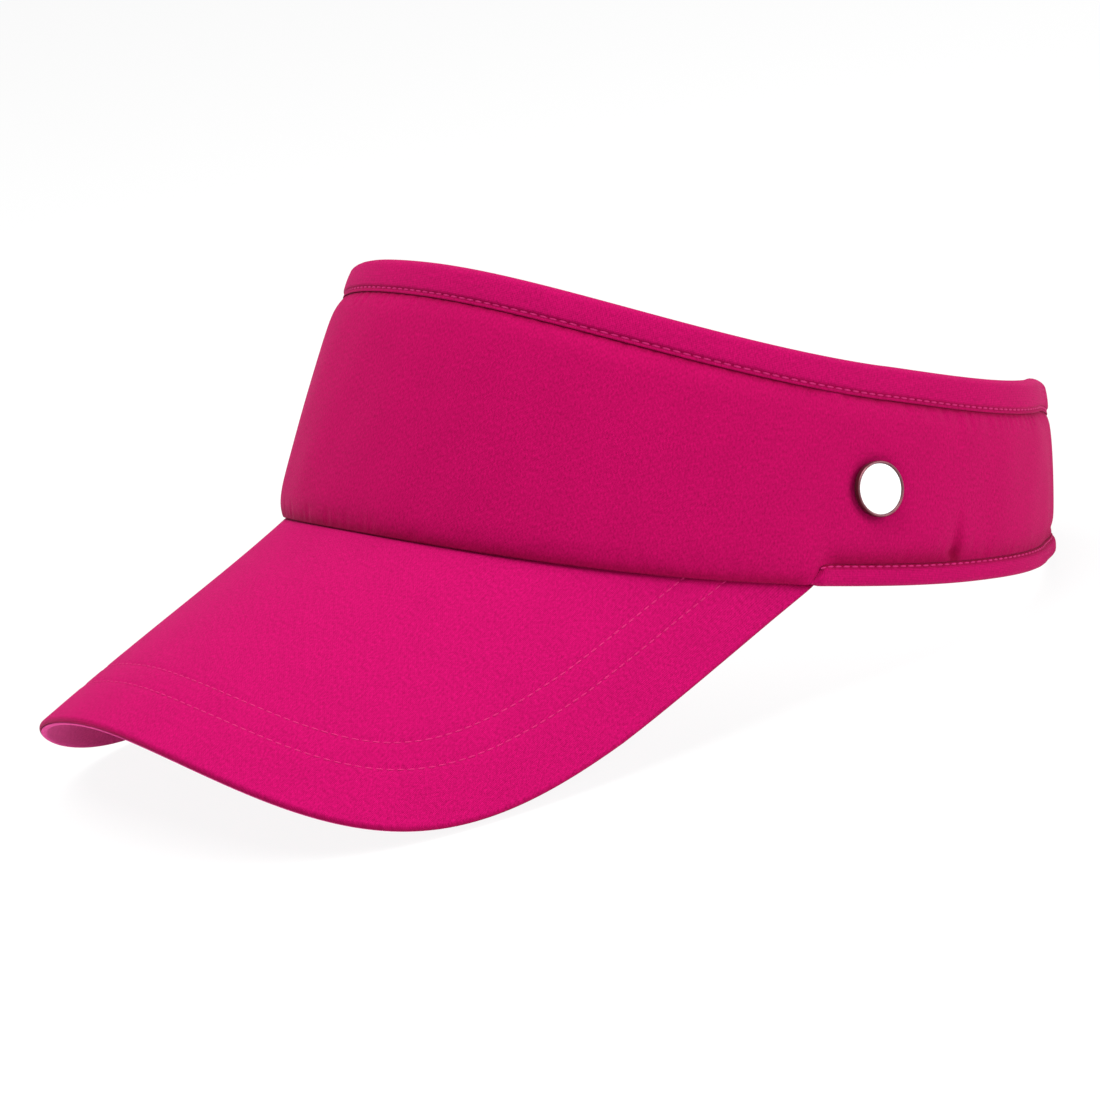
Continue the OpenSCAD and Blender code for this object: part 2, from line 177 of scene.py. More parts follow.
def unit(v: Array) -> Array:
    """Return vectors of length 1."""
    return v / np.maximum(np.linalg.norm(v, axis=-1, keepdims=True), 1e-12)


def run_length(points: Array, axis: int) -> Array:
    """Return the distance walked along one axis of a grid of points.

    Args:
        points: Grid of points, n by m by 3.
        axis: Axis of the grid to walk along.

    Returns:
        Grid of distances, n by m, that starts at 0.
    """
    steps = np.linalg.norm(np.diff(points, axis=axis), axis=-1)
    pad = [(0, 0), (0, 0)]
    pad[axis] = (1, 0)
    return np.cumsum(np.pad(steps, pad), axis=axis)


def grid_map(points: Array) -> Array:
    """Return a map in metres: the way along the middle row, and the way across each column."""
    along = run_length(points, 0)[:, points.shape[1] // 2, None]
    return np.stack(np.broadcast_arrays(along, run_length(points, 1)), axis=-1)


def grid_normals(points: Array) -> Array:
    """Return unit normals of a grid of points, along its second axis crossed with its first."""
    return unit(np.cross(np.gradient(points, axis=1), np.gradient(points, axis=0)))


def grid_quads(n: int, m: int) -> tuple[Array, Array]:
    """Return the numbers of the points of an n by m grid, and its four-sided faces."""
    index = np.arange(n * m).reshape(n, m)
    corners = [index[:-1, :-1], index[1:, :-1], index[1:, 1:], index[:-1, 1:]]
    return index, np.stack(corners, axis=-1).reshape(-1, 4)


def stretch(grid: Array, places: Array, count: int, axis: int) -> Array:
    """Return a coarse grid drawn out to more points along one axis.

    Args:
        grid: Coarse grid.
        places: Numbers of the fine points that its points stand for.
        count: How many fine points there are.
        axis: Axis of the grid to draw out.

    Returns:
        The finer grid, straight between the places.
    """
    return np.apply_along_axis(lambda line: np.interp(np.arange(count), places, line), axis, grid)


# Meshes and pieces.


@dataclass
class MeshData:
    """Points, faces, points' UV and painted crease shade, and face materials, ready to become a mesh.

    The last faces in the list, as many as flat says, are caps that are shaded flat.
    """

    points: Array
    faces: list[tuple[int, ...]]
    uv: Array
    slots: list[int] = field(default_factory=list)
    crease: Array | None = None
    flat: int = 0

    def mesh(self, name: str) -> bpy.types.Mesh:
        """Make a smooth mesh with its faces turned outwards.

        Args:
            name: Name of the mesh.

        Returns:
            The new mesh.
        """
        faces = self.faces if self.volume() >= 0 else [face[::-1] for face in self.faces]
        mesh = bpy.data.meshes.new(name)
        mesh.from_pydata(self.points.tolist(), [], faces)
        layer = mesh.uv_layers.new(name=UV_NAME)
        corners = np.fromiter((i for face in faces for i in face), dtype=int)
        layer.data.foreach_set("uv", self.uv[corners].astype(np.float32).ravel())
        if self.slots:
            mesh.polygons.foreach_set("material_index", self.slots)
        if self.crease is not None:
            shade = mesh.attributes.new(PAINTED_SHADE_NAME, "FLOAT", "POINT")
            shade.data.foreach_set("value", np.clip(self.crease, 0.0, 1.0).astype(np.float32).ravel())
        mesh.polygons.foreach_set("use_smooth", [True] * (len(faces) - self.flat) + [False] * self.flat)
        mesh.update()
        return mesh

    def volume(self) -> float:
        """Return the signed volume inside the faces."""
        total = 0.0
        for count in {len(face) for face in self.faces}:
            index = np.array([face for face in self.faces if len(face) == count])
            corner = self.points[index]
            for k in range(1, count - 1):
                turned = np.cross(corner[:, k], corner[:, k + 1])
                total += float(np.einsum("ij,ij->", corner[:, 0], turned)) / 6.0
        return total


def slab(
    front: Array,
    back: Array,
    slots: tuple[int, int] = (0, 0),
    crease: Array | None = None,
    chart: Array | None = None,
) -> MeshData:
    """Close two grids into one solid.

    Args:
        front: Outer grid, n by m by 3.
        back: Inner grid of the same shape.
        slots: Material numbers of the front and of the back.
        crease: Painted shade of each point of the front, from 0 to 1, darkest in creases.
        chart: Map of the front in metres, n by m by 2, where it isn't the grid's own.

    Returns:
        The closed mesh's data.
    """
    n, m = front.shape[:2]
    far = n * m
    index, quads = grid_quads(n, m)
    rim = np.concatenate([index[:-1, 0], index[-1, :-1], index[:0:-1, -1], index[0, :0:-1]])
    after = np.roll(rim, -1)
    side = np.stack([rim, rim + far, after + far, after], axis=-1)
    faces = [tuple(q) for q in np.concatenate([quads, quads[:, ::-1] + far, side]).tolist()]
    uv = (grid_map(front) if chart is None else chart).reshape(-1, 2)
    tags = [slots[0]] * len(quads) + [slots[1]] * len(quads) + [slots[0]] * len(side)
    points = np.concatenate([front.reshape(-1, 3), back.reshape(-1, 3)])
    if crease is not None:
        crease = np.concatenate([np.broadcast_to(crease, (n, m)).ravel(), np.zeros(far)])
    return MeshData(points, faces, np.concatenate([uv, uv]), tags, crease, len(side))


def tube(rings: Array, closed: bool = False, crease: Array | None = None) -> MeshData:
    """Close a row of rings into one solid.

    Args:
        rings: Rings of points, n by m by 3.
        closed: Join the last ring to the first instead of capping both ends.
        crease: Painted shade of each point, from 0 to 1, darkest in creases.

    Returns:
        The closed mesh's data.
    """
    n, m = rings.shape[:2]
    index = np.arange(n * m).reshape(n, m)
    loop = np.concatenate([index, index[:1]]) if closed else index
    wrap = np.roll(loop, -1, axis=1)
    quads = np.stack([loop[:-1], loop[1:], wrap[1:], wrap[:-1]], axis=-1).reshape(-1, 4)
    faces = [tuple(q) for q in quads.tolist()]
    if not closed:
        faces += [tuple(index[0].tolist()), tuple(index[-1, ::-1].tolist())]
    uv = grid_map(rings).reshape(-1, 2)
    return MeshData(rings.reshape(-1, 3), faces, uv, crease=crease, flat=0 if closed else 2)


def lathe(profile: Sequence[tuple[float, float]], steps: int) -> Array:
    """Turn a closed profile of (radius, height) about Z into a grid of rings."""
    turn = np.linspace(0.0, 2.0 * math.pi, steps, endpoint=False)[:, None]
    shape = np.array(profile)
    return vec(shape[:, 0] * np.cos(turn), shape[:, 0] * np.sin(turn), shape[:, 1] + 0.0 * turn)


def add_object(name: str, mesh: bpy.types.Mesh, *materials: bpy.types.Material) -> bpy.types.Object:
    """Link a mesh into the scene with its materials.

    Args:
        name: Name of the object.
        mesh: Its mesh.
        materials: Materials in slot order.

    Returns:
        The new object.
    """
    piece = bpy.data.objects.new(name, mesh)
    bpy.context.scene.collection.objects.link(piece)
    for material in materials:
        mesh.materials.append(material)
    LOG.info("%s: %d faces", name, len(mesh.polygons))
    return piece


def settle(piece: bpy.types.Object, body: Body, slot: Slot, *nodes: str) -> bpy.types.Object:
    """Fix a piece to a body and hide the nodes that it stands for.

    Args:
        piece: The piece.
        body: Body that carries it.
        slot: Not used.
        nodes: Nodes of the solids that the piece replaces.

    Returns:
        The same piece.
    """
    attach(piece, body.value)
    if nodes:
        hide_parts(*nodes)
    return piece


# Shader nodes.

# Places of the sockets of a Mix node, which has one set for numbers and another for colours.
NUMBER_MIX = (0, 2, 3)
COLOUR_MIX = (0, 6, 7)
COLOUR_MIX_RESULT = 2


def linear(colour: Sequence[float]) -> tuple[float, float, float, float]:
    """Turn a display colour of 0 to 255 into a linear one."""
    share = [c / 255.0 for c in colour]
    return (*[c / 12.92 if c <= 0.04045 else ((c + 0.055) / 1.055) ** 2.4 for c in share], 1.0)


def set_inputs(node: bpy.types.Node, values: dict[str, object]) -> None:
    """Set a node's inputs by their names."""
    for label, value in values.items():
        node.inputs[label].default_value = value


@dataclass
class Nodes:
    """A node tree being wired."""

    tree: bpy.types.NodeTree

    def add(self, kind: str, **settings: object) -> bpy.types.Node:
        """Add a node.

        Args:
            kind: Node type.
            settings: Properties of the node.

        Returns:
            The new node.
        """
        node = self.tree.nodes.new(kind)
        for key, value in settings.items():
            setattr(node, key, value)
        return node

    def wire(self, source: bpy.types.NodeSocket, target: bpy.types.NodeSocket) -> None:
        """Link two sockets."""
        self.tree.links.new(source, target)

    def feed(self, value: object, target: bpy.types.NodeSocket) -> None:
        """Link a socket to a target, or set the target to a plain value."""
        if isinstance(value, bpy.types.NodeSocket):
            self.wire(value, target)
        else:
            target.default_value = value

    def math(self, operation: str, *values: object) -> bpy.types.NodeSocket:
        """Add a Math node.

        Args:
            operation: Name of the operation.
            values: Its inputs, each a socket or a number.

        Returns:
            The node's output.
        """
        node = self.add("ShaderNodeMath", operation=operation)
        for socket, value in zip(node.inputs, values):
            self.feed(value, socket)
        return node.outputs[0]

    def tint(self, first: object, second: object, share: bpy.types.NodeSocket) -> bpy.types.NodeSocket:
        """Add a node that mixes two colours.

        Args:
            first: Socket or linear colour.
            second: Socket or linear colour.
            share: Share of the second colour.

        Returns:
            The mixed colour.
        """
        node = self.add("ShaderNodeMix", data_type="RGBA")
        for place, value in zip(COLOUR_MIX, (share, first, second)):
            self.feed(value, node.inputs[place])
        return node.outputs[COLOUR_MIX_RESULT]

    def noise(
        self, vector: bpy.types.NodeSocket, scale: float, detail: float = 2.0
    ) -> bpy.types.NodeSocket:
        """Add a noise texture and return its value."""
        node = self.add("ShaderNodeTexNoise")
        set_inputs(node, {"Scale": scale, "Detail": detail})
        self.wire(vector, node.inputs["Vector"])
        return node.outputs[0]


@lru_cache(maxsize=None)
def weave_group() -> bpy.types.NodeTree:
    """Make the shared weave: yarn height, and a shade of random mottle with painted shade between the
    yarns, from a map in metres.
    """
    cloud_scale, cloud_share = 90.0, 0.12
    slub_scale, slub_detail, slub_stretch = 2000.0, 3.0, 0.55
    yarn_mean, yarn_share = 0.64, 0.5
    middle = 0.5
    tree = bpy.data.node_groups.new("fine_weave", "ShaderNodeTree")
    inputs = {"Vector": "NodeSocketVector", "Threads": "NodeSocketFloat", "Mottle": "NodeSocketFloat"}
    for label, kind in inputs.items():
        tree.interface.new_socket(label, in_out="INPUT", socket_type=kind)
    for label in ("Height", "Shade"):
        tree.interface.new_socket(label, in_out="OUTPUT", socket_type="NodeSocketFloat")
    nodes = Nodes(tree)
    given = nodes.add("NodeGroupInput")
    result = nodes.add("NodeGroupOutput")
    vector, threads, mottle = (given.outputs[label] for label in inputs)
    scaled = nodes.add("ShaderNodeVectorMath", operation="SCALE")
    nodes.wire(vector, scaled.inputs[0])
    nodes.wire(threads, scaled.inputs["Scale"])
    split = nodes.add("ShaderNodeSeparateXYZ")
    nodes.wire(scaled.outputs[0], split.inputs[0])
    warp, weft = (
        nodes.math("ABSOLUTE", nodes.math("SINE", nodes.math("MULTIPLY", split.outputs[k], math.pi)))
        for k in (0, 1)
    )
    over = nodes.add("ShaderNodeTexChecker")
    set_inputs(over, {"Scale": 1.0})
    nodes.wire(scaled.outputs[0], over.inputs["Vector"])
    height = nodes.add("ShaderNodeMix", data_type="FLOAT")
    for place, value in zip(NUMBER_MIX, (over.outputs[1], warp, weft)):
        nodes.wire(value, height.inputs[place])
    drawn = nodes.add("ShaderNodeVectorMath", operation="MULTIPLY")
    drawn.inputs[1].default_value = (1.0, slub_stretch, 1.0)
    nodes.wire(vector, drawn.inputs[0])
    cloud = nodes.math("SUBTRACT", nodes.noise(vector, cloud_scale), middle)
    slub = nodes.math("SUBTRACT", nodes.noise(drawn.outputs[0], slub_scale, slub_detail), middle)
    uneven = nodes.math("ADD", slub, nodes.math("MULTIPLY", cloud, cloud_share))
    # Painted shade: the colour is darker where the yarn is low, between the threads.
    yarn_gap_shade = nodes.math("MULTIPLY", nodes.math("SUBTRACT", height.outputs[0], yarn_mean), yarn_share)
    shade = nodes.math("ADD", nodes.math("MULTIPLY", uneven, mottle), yarn_gap_shade)
    nodes.wire(height.outputs[0], result.inputs["Height"])
    nodes.wire(nodes.math("ADD", shade, middle), result.inputs["Shade"])
    return tree


def blank_material(name: str) -> tuple[bpy.types.Material, Nodes, bpy.types.Node]:
    """Make a material with a Principled shader.

    Args:
        name: Name of the material.

    Returns:
        The material, its node tree and the Principled node.
    """
    material = bpy.data.materials.new(name)
    material.use_nodes = True
    nodes = Nodes(material.node_tree)
    return material, nodes, material.node_tree.nodes["Principled BSDF"]


@dataclass(frozen=True)
class Finish:
    """A finish that is mottled between a dark and a light colour."""

    name: str
    dark: Colour
    light: Colour

    def material(self) -> bpy.types.Material:
        """Return the material, made once."""
        return bpy.data.materials.get(self.name) or self.make()

    def make(self) -> bpy.types.Material:
        """Make the material.

        Returns:
            The new material.
        """
        raise NotImplementedError

    def mottled(self, nodes: Nodes, share: bpy.types.NodeSocket) -> bpy.types.NodeSocket:
        """Return the colour a share of the way from dark to light."""
        return nodes.tint(linear(self.dark), linear(self.light), share)


@dataclass(frozen=True)
class ClothFinish(Finish):
    """Woven cloth with a fine weave, a mottle, a little nap and painted shade in its creases."""

    threads: float = 2900.0
    mottle: float = 1.0
    bump: float = 0.25
    yarn: float = 0.12 * MM
    roughness: float = 0.9
    specular: float = 0.03
    sheen: float = 0.11
    sheen_roughness: float = 0.4
    sheen_tint: Colour = (255, 150, 200)
    # Colour of the painted shade in creases, and the share of it at full shade.
    crease: Colour = (98, 0, 28)
    shade_share: float = 0.8

    def make(self) -> bpy.types.Material:
        """Make the material.

        Returns:
            The new material.
        """
        material, nodes, shader = blank_material(self.name)
        chart = nodes.add("ShaderNodeUVMap", uv_map=UV_NAME)
        weave = nodes.add("ShaderNodeGroup", node_tree=weave_group())
        set_inputs(weave, {"Threads": self.threads, "Mottle": self.mottle})
        nodes.wire(chart.outputs[0], weave.inputs["Vector"])
        colour = self.mottled(nodes, weave.outputs["Shade"])
        # Painted shade: the crease attribute mixes the cloth's colour towards the dark crease colour.
        painted_shade = nodes.add("ShaderNodeAttribute", attribute_name=PAINTED_SHADE_NAME)
        shade_amount = nodes.math("MULTIPLY", painted_shade.outputs["Fac"], self.shade_share)
        nodes.wire(nodes.tint(colour, linear(self.crease), shade_amount), shader.inputs["Base Color"])
        bump = nodes.add("ShaderNodeBump")
        set_inputs(bump, {"Strength": self.bump, "Distance": self.yarn})
        nodes.wire(weave.outputs["Height"], bump.inputs["Height"])
        nodes.wire(bump.outputs[0], shader.inputs["Normal"])
        set_inputs(shader, {
            "Roughness": self.roughness,
            "Specular IOR Level": self.specular,
            "Sheen Weight": self.sheen,
            "Sheen Roughness": self.sheen_roughness,
            "Sheen Tint": linear(self.sheen_tint),
        })
        return material


@dataclass(frozen=True)
class PlainFinish(Finish):
    """Thread, pile, board, enamel or metal: one colour with a slight grain."""

    grain: float = 800.0
    roughness: float = 0.6
    metallic: float = 0.0
    specular: float = 0.3
    coat: float = 0.0

    def make(self) -> bpy.types.Material:
        """Make the material.

        Returns:
            The new material.
        """
        material, nodes, shader = blank_material(self.name)
        place = nodes.add("ShaderNodeTexCoord")
        grain = nodes.noise(place.outputs["Object"], self.grain)
        nodes.wire(self.mottled(nodes, grain), shader.inputs["Base Color"])
        set_inputs(shader, {
            "Roughness": self.roughness,
            "Metallic": self.metallic,
            "Specular IOR Level": self.specular,
            "Coat Weight": self.coat,
        })
        return material


SHELL_CLOTH = ClothFinish("visor_shell_cloth", (112, 2, 51), (182, 7, 88))
# The brim's cloth is a lighter copy of the shell cloth: the extra lightness is painted light on the brim's
# upward-facing top.
BRIM_CLOTH = ClothFinish("visor_brim_cloth", (121, 3, 58), (191, 11, 98))
TAPE_CLOTH = ClothFinish("visor_binding_tape", (112, 3, 53), (184, 8, 91), threads=2300.0)
LINING_CLOTH = ClothFinish("visor_lining_cloth", (120, 6, 60), (190, 16, 98), threads=2300.0)
UNDER_CLOTH = ClothFinish("visor_under_cloth", (168, 44, 106), (232, 80, 156))
TOWELLING = PlainFinish("visor_towelling", (150, 10, 74), (174, 22, 92), roughness=0.95, specular=0.05)
THREAD = PlainFinish("visor_thread", (156, 13, 81), (176, 25, 98), roughness=0.7, specular=0.15)
BRIM_THREAD = PlainFinish("visor_brim_thread", (168, 14, 86), (184, 22, 98), roughness=0.7, specular=0.15)
BOARD = PlainFinish("visor_board", (222, 220, 214), (236, 234, 228), roughness=0.5, grain=300.0)
LOOP_NYLON = PlainFinish("visor_loop_pile", (150, 8, 70), (182, 22, 92), roughness=0.9, specular=0.08)
HOOK_NYLON = PlainFinish("visor_hook_nylon", (150, 10, 72), (176, 22, 90), roughness=0.4, specular=0.4)
DARK_METAL = PlainFinish("visor_badge_metal", (96, 60, 66), (128, 82, 90), roughness=0.32, metallic=0.9)
ENAMEL = PlainFinish("visor_badge_face", (246, 246, 246), (252, 252, 252), roughness=0.25, coat=0.3)
STEEL = PlainFinish("visor_rivet_steel", (172, 172, 176), (200, 200, 204), roughness=0.3, metallic=1.0)


def add_piece(name: str, data: MeshData, *finishes: Finish) -> bpy.types.Object:
    """Make a piece from its mesh data.

    Args:
        name: Name of the piece and of its mesh.
        data: Its mesh data.
        finishes: Its finishes in slot order.

    Returns:
        The new object.
    """
    return add_object(name, data.mesh(name), *(finish.material() for finish in finishes))


# Shapes shared by the pieces.


@dataclass(frozen=True)
class Gather:
    """An upright fold that sewing draws into the cloth behind the end of the foam.

    Its place past the main fold and its half width are in degrees.  Its depths are at the lower and at
    the upper edge of the padded cloth.
    """

    past: float
    width: float
    low: float
    high: float = 0.0

    def depth(self, near_low: Array, near_high: Array) -> Array:
        """Return the fold's depth from how near the lower and the upper edge are."""
        return self.low * near_low + self.high * near_high


@dataclass(frozen=True)
class BandShape:
    """Wall of the band: angle a in degrees round the head, height s up it, offset off through it.

    It runs from the cut end of the right strap, at start, to the split where the left strap's end begins.
    Each of its waves has a depth, and a rate of change round the band and up it.
    """

    start: float = -194.0
    split: float = 146.0
    length: float = 206.0 * MM
    width: float = 167.8 * MM
    power: float = 2.24
    saddle: float = 2.9 * MM
    top_front: float = 70.0 * MM
    top_side: float = 50.8 * MM
    top_back: float = 48.4 * MM
    strap_drop: float = 4.5 * MM
    drop_angle: float = 138.0
    drop_span: float = 30.0
    lean_front: float = 17.0 * MM
    lean_side: float = 7.0 * MM
    lean_back: float = 4.8 * MM
    pitch: float = 15.8
    wall_t: float = 3.2 * MM
    strap_t: float = 1.6 * MM
    lining_t: float = 0.7 * MM
    base_crown: float = 1.1 * MM
    pad_crown: float = 1.6 * MM
    strap_crown: float = 1.0 * MM
    base_power: float = 0.7
    pad_power: float = 6.0
    pad_angle: float = 104.0
    pad_taper: float = 6.0
    tip_puff: float = 0.75
    tip_past: float = 0.6
    tip_width: float = 2.4
    fold_angle: float = 103.0
    fold_end: float = 1.4
    fold: Gather = Gather(0.0, 2.4, 1.5 * MM, 0.4 * MM)
    gathers: tuple[Gather, ...] = (Gather(3.0, 1.6, -0.35 * MM), Gather(7.5, 1.5, 0.25 * MM, 0.2 * MM))
    gather_low: float = 9.0 * MM
    gather_high: float = 7.0 * MM
    far_fold: float = 0.3
    bind_w: float = 8.5 * MM
    hem_w: float = 5.0 * MM
    hem_roll: float = 0.6 * MM
    hem_sag: float = 1.0 * MM
    sag_angle: float = 108.0
    sag_span: float = 40.0
    hem_pull: float = 0.6 * MM
    hem_pull_up: float = 1.0 * MM
    hem_pull_w: float = 2.4 * MM
    brim_angle: float = 81.0
    hem_run: float = 2.0
    seam_gap: float = -0.2 * MM
    lift_height: float = 4.5 * MM
    lift_start: float = 139.0
    lift_end: float = 160.0
    badge_angle: float = 89.0
    badge_up: float = 24.0 * MM
    badge_r: float = 7.1 * MM
    press: float = 0.35 * MM
    press_out: float = 1.2 * MM
    press_run: float = 1.6 * MM
    swell: float = 0.4 * MM
    swell_out: float = 2.2 * MM
    swell_w: float = 1.8 * MM
    waves: tuple[tuple[float, float, float], ...] = ((0.10 * MM, 17.0, 90.0), (0.07 * MM, 29.0, -140.0))
    seam_hold: float = 14.0

    def worn(self, points: Array) -> Array:
        """Pitch points of the band's own frame forward, as the visor is worn."""
        c, s = math.cos(math.radians(self.pitch)), math.sin(math.radians(self.pitch))
        x, y, z = points[..., 0], points[..., 1], points[..., 2]
        return vec(x, y * c + z * s, z * c - y * s)

    def lower(self, a: Array) -> Array:
        """Return the lower edge at an angle."""
        turn, p = np.radians(a), 2.0 / self.power
        across = self.width / 2 * spow(np.sin(turn), p)
        along = -self.length / 2 * spow(np.cos(turn), p)
        return vec(across, along, self.saddle * np.cos(2 * turn))

    def upper(self, a: Array) -> Array:
        """Return the upper edge at an angle."""
        turn, p = np.radians(a), 2.0 / self.power
        ends = (self.top_front + self.top_back) / 2
        round_back = 180.0 - np.abs(180.0 - np.abs(a))
        narrowed = self.strap_drop * smooth((round_back - self.drop_angle) / self.drop_span)
        half_len = self.length / 2 - (self.lean_front + self.lean_back) / 2
        across = (self.width / 2 - self.lean_side) * spow(np.sin(turn), p)
        along = (self.lean_front - self.lean_back) / 2 - half_len * spow(np.cos(turn), p)
        up = (ends + self.top_side) / 2 + (self.top_front - self.top_back) / 2 * np.cos(turn)
        return vec(across, along, up + (ends - self.top_side) / 2 * np.cos(2 * turn) - narrowed)

    def outward(self, a: Array) -> Array:
        """Return the level direction out of the wall."""
        turn = np.radians(a)
        return unit(vec(np.sin(turn) / self.width, -np.cos(turn) / self.length, 0.0 * turn))

    def slant(self, a: Array) -> Array:
        """Return the wall's height along its own slope."""
        return np.linalg.norm(self.upper(a) - self.lower(a), axis=-1)

    def raw(self, a: Array, s: Array, off: Array) -> Array:
        """Return a point of the wall in the band's own frame."""
        a, s, off = np.broadcast_arrays(a, s, off)
        low = self.lower(a)
        rise = unit(self.upper(a) - low)
        return low + rise * s[..., None] + self.outward(a) * (off - self.wall_t)[..., None]

    def place(self, a: Array, s: Array, off: Array) -> Array:
        """Return a point of the wall as worn."""
        return self.worn(self.raw(a, s, off))

    def hemmed(self, a: Array) -> Array:
        """Return 0 over the brim and 1 along the hems."""
        return smooth((np.abs(a) - self.brim_angle) / self.hem_run)

    def pad_low(self, a: Array) -> Array:
        """Return the height at which the puffed cloth starts."""
        return mix(self.seam_gap, self.hem_w - self.sag(a), self.hemmed(a))

    def sag(self, a: Array) -> Array:
        """Return how far the hem sinks towards the back."""
        return self.hem_sag * smooth((np.abs(a) - self.sag_angle) / self.sag_span)

    def hem_drop(self, a: Array) -> Array:
        """Return how far the rolled hem reaches below the wall."""
        return (self.hem_roll + self.sag(a)) * self.hemmed(a)

    def pad_high(self, a: Array) -> Array:
        """Return the height at which the puffed cloth ends under the binding."""
        return self.slant(a) - self.bind_w

    def relief(self, a: Array, s: Array) -> Array:
        """Return how far the cloth stands out of the flat wall."""
        low, high = self.pad_low(a), self.pad_high(a)
        t = np.clip(np.maximum(s, low) / self.slant(a), 0.0, 1.0)
        x = np.clip((s - low) / (high - low), 0.0, 1.0)
        puff = mix(self.pad_crown, self.strap_crown, self.thin(a))
        near_tip = bell((np.abs(a) - self.brim_angle - self.tip_past) / self.tip_width)
        kept = np.where(x < 0.5, self.tip_puff * near_tip, 0.0)
        base = self.base_crown * (4 * t * (1 - t)) ** self.base_power
        return base + puff * np.maximum(rounded(2 * x - 1, self.pad_power), kept)

    def lift(self, a: Array) -> Array:
        """Return how far the left strap stands off to pass over the right one."""
        return self.lift_height * smooth((a - self.lift_start) / (self.lift_end - self.lift_start))

    def thin(self, a: Array) -> Array:
        """Return 0 on the padded front and 1 on the thin straps."""
        return smooth((np.abs(a) - self.pad_angle + self.pad_taper) / (2 * self.pad_taper))

    def outer(self, a: Array, s: Array) -> Array:
        """Return the offset of the cloth's outer face."""
        return self.wall_t + self.relief(a, s) + self.lift(a)

    def inner(self, a: Array, s: Array) -> Array:
        """Return the offset of the lining's inner face."""
        return self.thin(a) * (self.outer(a, s) - self.strap_t)

    def bound(self, a: Array, s: Array) -> Array:
        """Return the offset of the inner face of a bound edge."""
        return self.thin(a) * self.relief(a, s) + self.lift(a)

    def gathered(self, a: Array) -> Array:
        """Return how strongly the cloth gathers behind the end of the foam, less on the right side."""
        return np.where(a > 0.0, 1.0, self.far_fold)

    def gather(self, a: Array, s: Array) -> Array:
        """Return how far the cloth is gathered in behind the end of the foam.

        Args:
            a: Angles in degrees.
            s: Heights up the wall.

        Returns:
            Depths, positive inwards.
        """
        near_low = bell((s - self.pad_low(a)) / self.gather_low)
        near_high = bell((self.pad_high(a) - s) / self.gather_high)
        past = np.abs(a) - self.fold_angle
        rising = smooth(1.0 - past / self.fold_end) * bell(np.minimum(past, 0.0) / self.fold.width)
        depth = rising * self.fold.depth(near_low, near_high)
        for gather in self.gathers:
            depth = depth + bell((past - gather.past) / gather.width) * gather.depth(near_low, near_high)
        return depth * self.gathered(a)

    def pressed(self, a: Array, s: Array) -> Array:
        """Return how far the badge presses the cloth in under it, and lets it swell round it.

        Args:
            a: Angles in degrees.
            s: Heights up the wall.

        Returns:
            Depths, positive inwards.
        """
        badge = self.raw(self.badge_angle, self.badge_up, 0.0)
        gap = np.linalg.norm(self.raw(a, s, 0 * s) - badge, axis=-1) - self.badge_r
        under = self.press * smooth((self.press_out - gap) / self.press_run)
        return under - self.swell * bell((gap - self.swell_out) / self.swell_w)

    def dimples(self, a: Array, s: Array) -> Array:
        """Return how far sewing and the badge pull the cloth in.

        Args:
            a: Angles in degrees.
            s: Heights up the wall.

        Returns:
            Depths, positive inwards.
        """
        low, high = self.pad_low(a), self.pad_high(a)
        hem = self.hem_pull * self.hemmed(a) * bell((s - low - self.hem_pull_up) / self.hem_pull_w)
        waves = sum(depth * np.sin(np.radians(a) * around + s * up) for depth, around, up in self.waves)
        x = np.clip((s - low) / (high - low), 0.0, 1.0)
        held = smooth(self.seam_hold * x) * smooth(self.seam_hold * (1 - x))
        return (self.gather(a, s) + hem + self.pressed(a, s) + waves) * held


@dataclass(frozen=True)
class BrimShape:
    """Sheet of the brim: u from -1 to 1 along it, v from 0 at the seam to 1 at the outer edge."""

    band: BandShape
    out: float = 83.4 * MM
    pitch: float = 34.6
    arch_r: float = 91.2 * MM
    arch_r_front: float = 88.9 * MM
    side_power: float = 2.57
    front_power: float = 5.08
    bow: float = 1.2 * MM
    seam_off: float = 2.3 * MM
    thick: float = 2.6 * MM

    @property
    def axes(self) -> tuple[Array, Array]:
        """The brim's forward and upward directions."""
        turn = math.radians(self.pitch)
        c, s = math.cos(turn), math.sin(turn)
        return np.array([0.0, -c, -s]), np.array([0.0, -s, c])

    def arch(self, s: Array) -> Array:
        """Return the radius of the brim's arch at a distance forward."""
        return mix(self.arch_r, self.arch_r_front, np.maximum(s, 0.0) / self.out)

    def flat(self, u: Array, v: Array) -> Array:
        """Return points of the brim's upper face in the band's own frame.

        Args:
            u: Places along the brim.
            v: Places across it.

        Returns:
            Points.
        """
        u, v = np.broadcast_arrays(np.asarray(u, float), np.asarray(v, float))
        forward, upward = self.axes
        root = self.band.raw(0.0, 0.0, self.seam_off)
        seam = self.band.raw(u * self.band.brim_angle, 0.0 * u, self.seam_off + 0.0 * u) - root
        seam_s = seam @ forward
        seam_turn = np.arcsin(seam[..., 0] / self.arch(seam_s))
        seam_rest = seam @ upward + self.arch(seam_s) * (1 - np.cos(seam_turn))
        tip = self.band.raw(self.band.brim_angle, 0.0, self.band.wall_t) - root
        end_s = tip @ forward
        end_turn = math.asin(tip[0] / float(self.arch(end_s)))
        swing = np.clip(np.cos(np.radians(90 * u)), 0.0, 1.0)
        edge_turn = end_turn * np.sign(u) * (1 - swing**self.front_power) ** (1 / self.side_power)
        edge_s = mix(end_s, self.out, swing)
        turn, s = mix(seam_turn, edge_turn, v), mix(seam_s, edge_s, v)
        bow = self.bow * (edge_s - seam_s) / self.out
        ease = seam_rest * (1 - v) ** 2 + bow * 4 * v * (1 - v)
        radius = self.arch(s)
        up = ease - radius * (1 - np.cos(turn))
        return root + vec(radius * np.sin(turn), 0.0, 0.0) + forward * s[..., None] + upward * up[..., None]


# Geometry Nodes for everything that repeats.


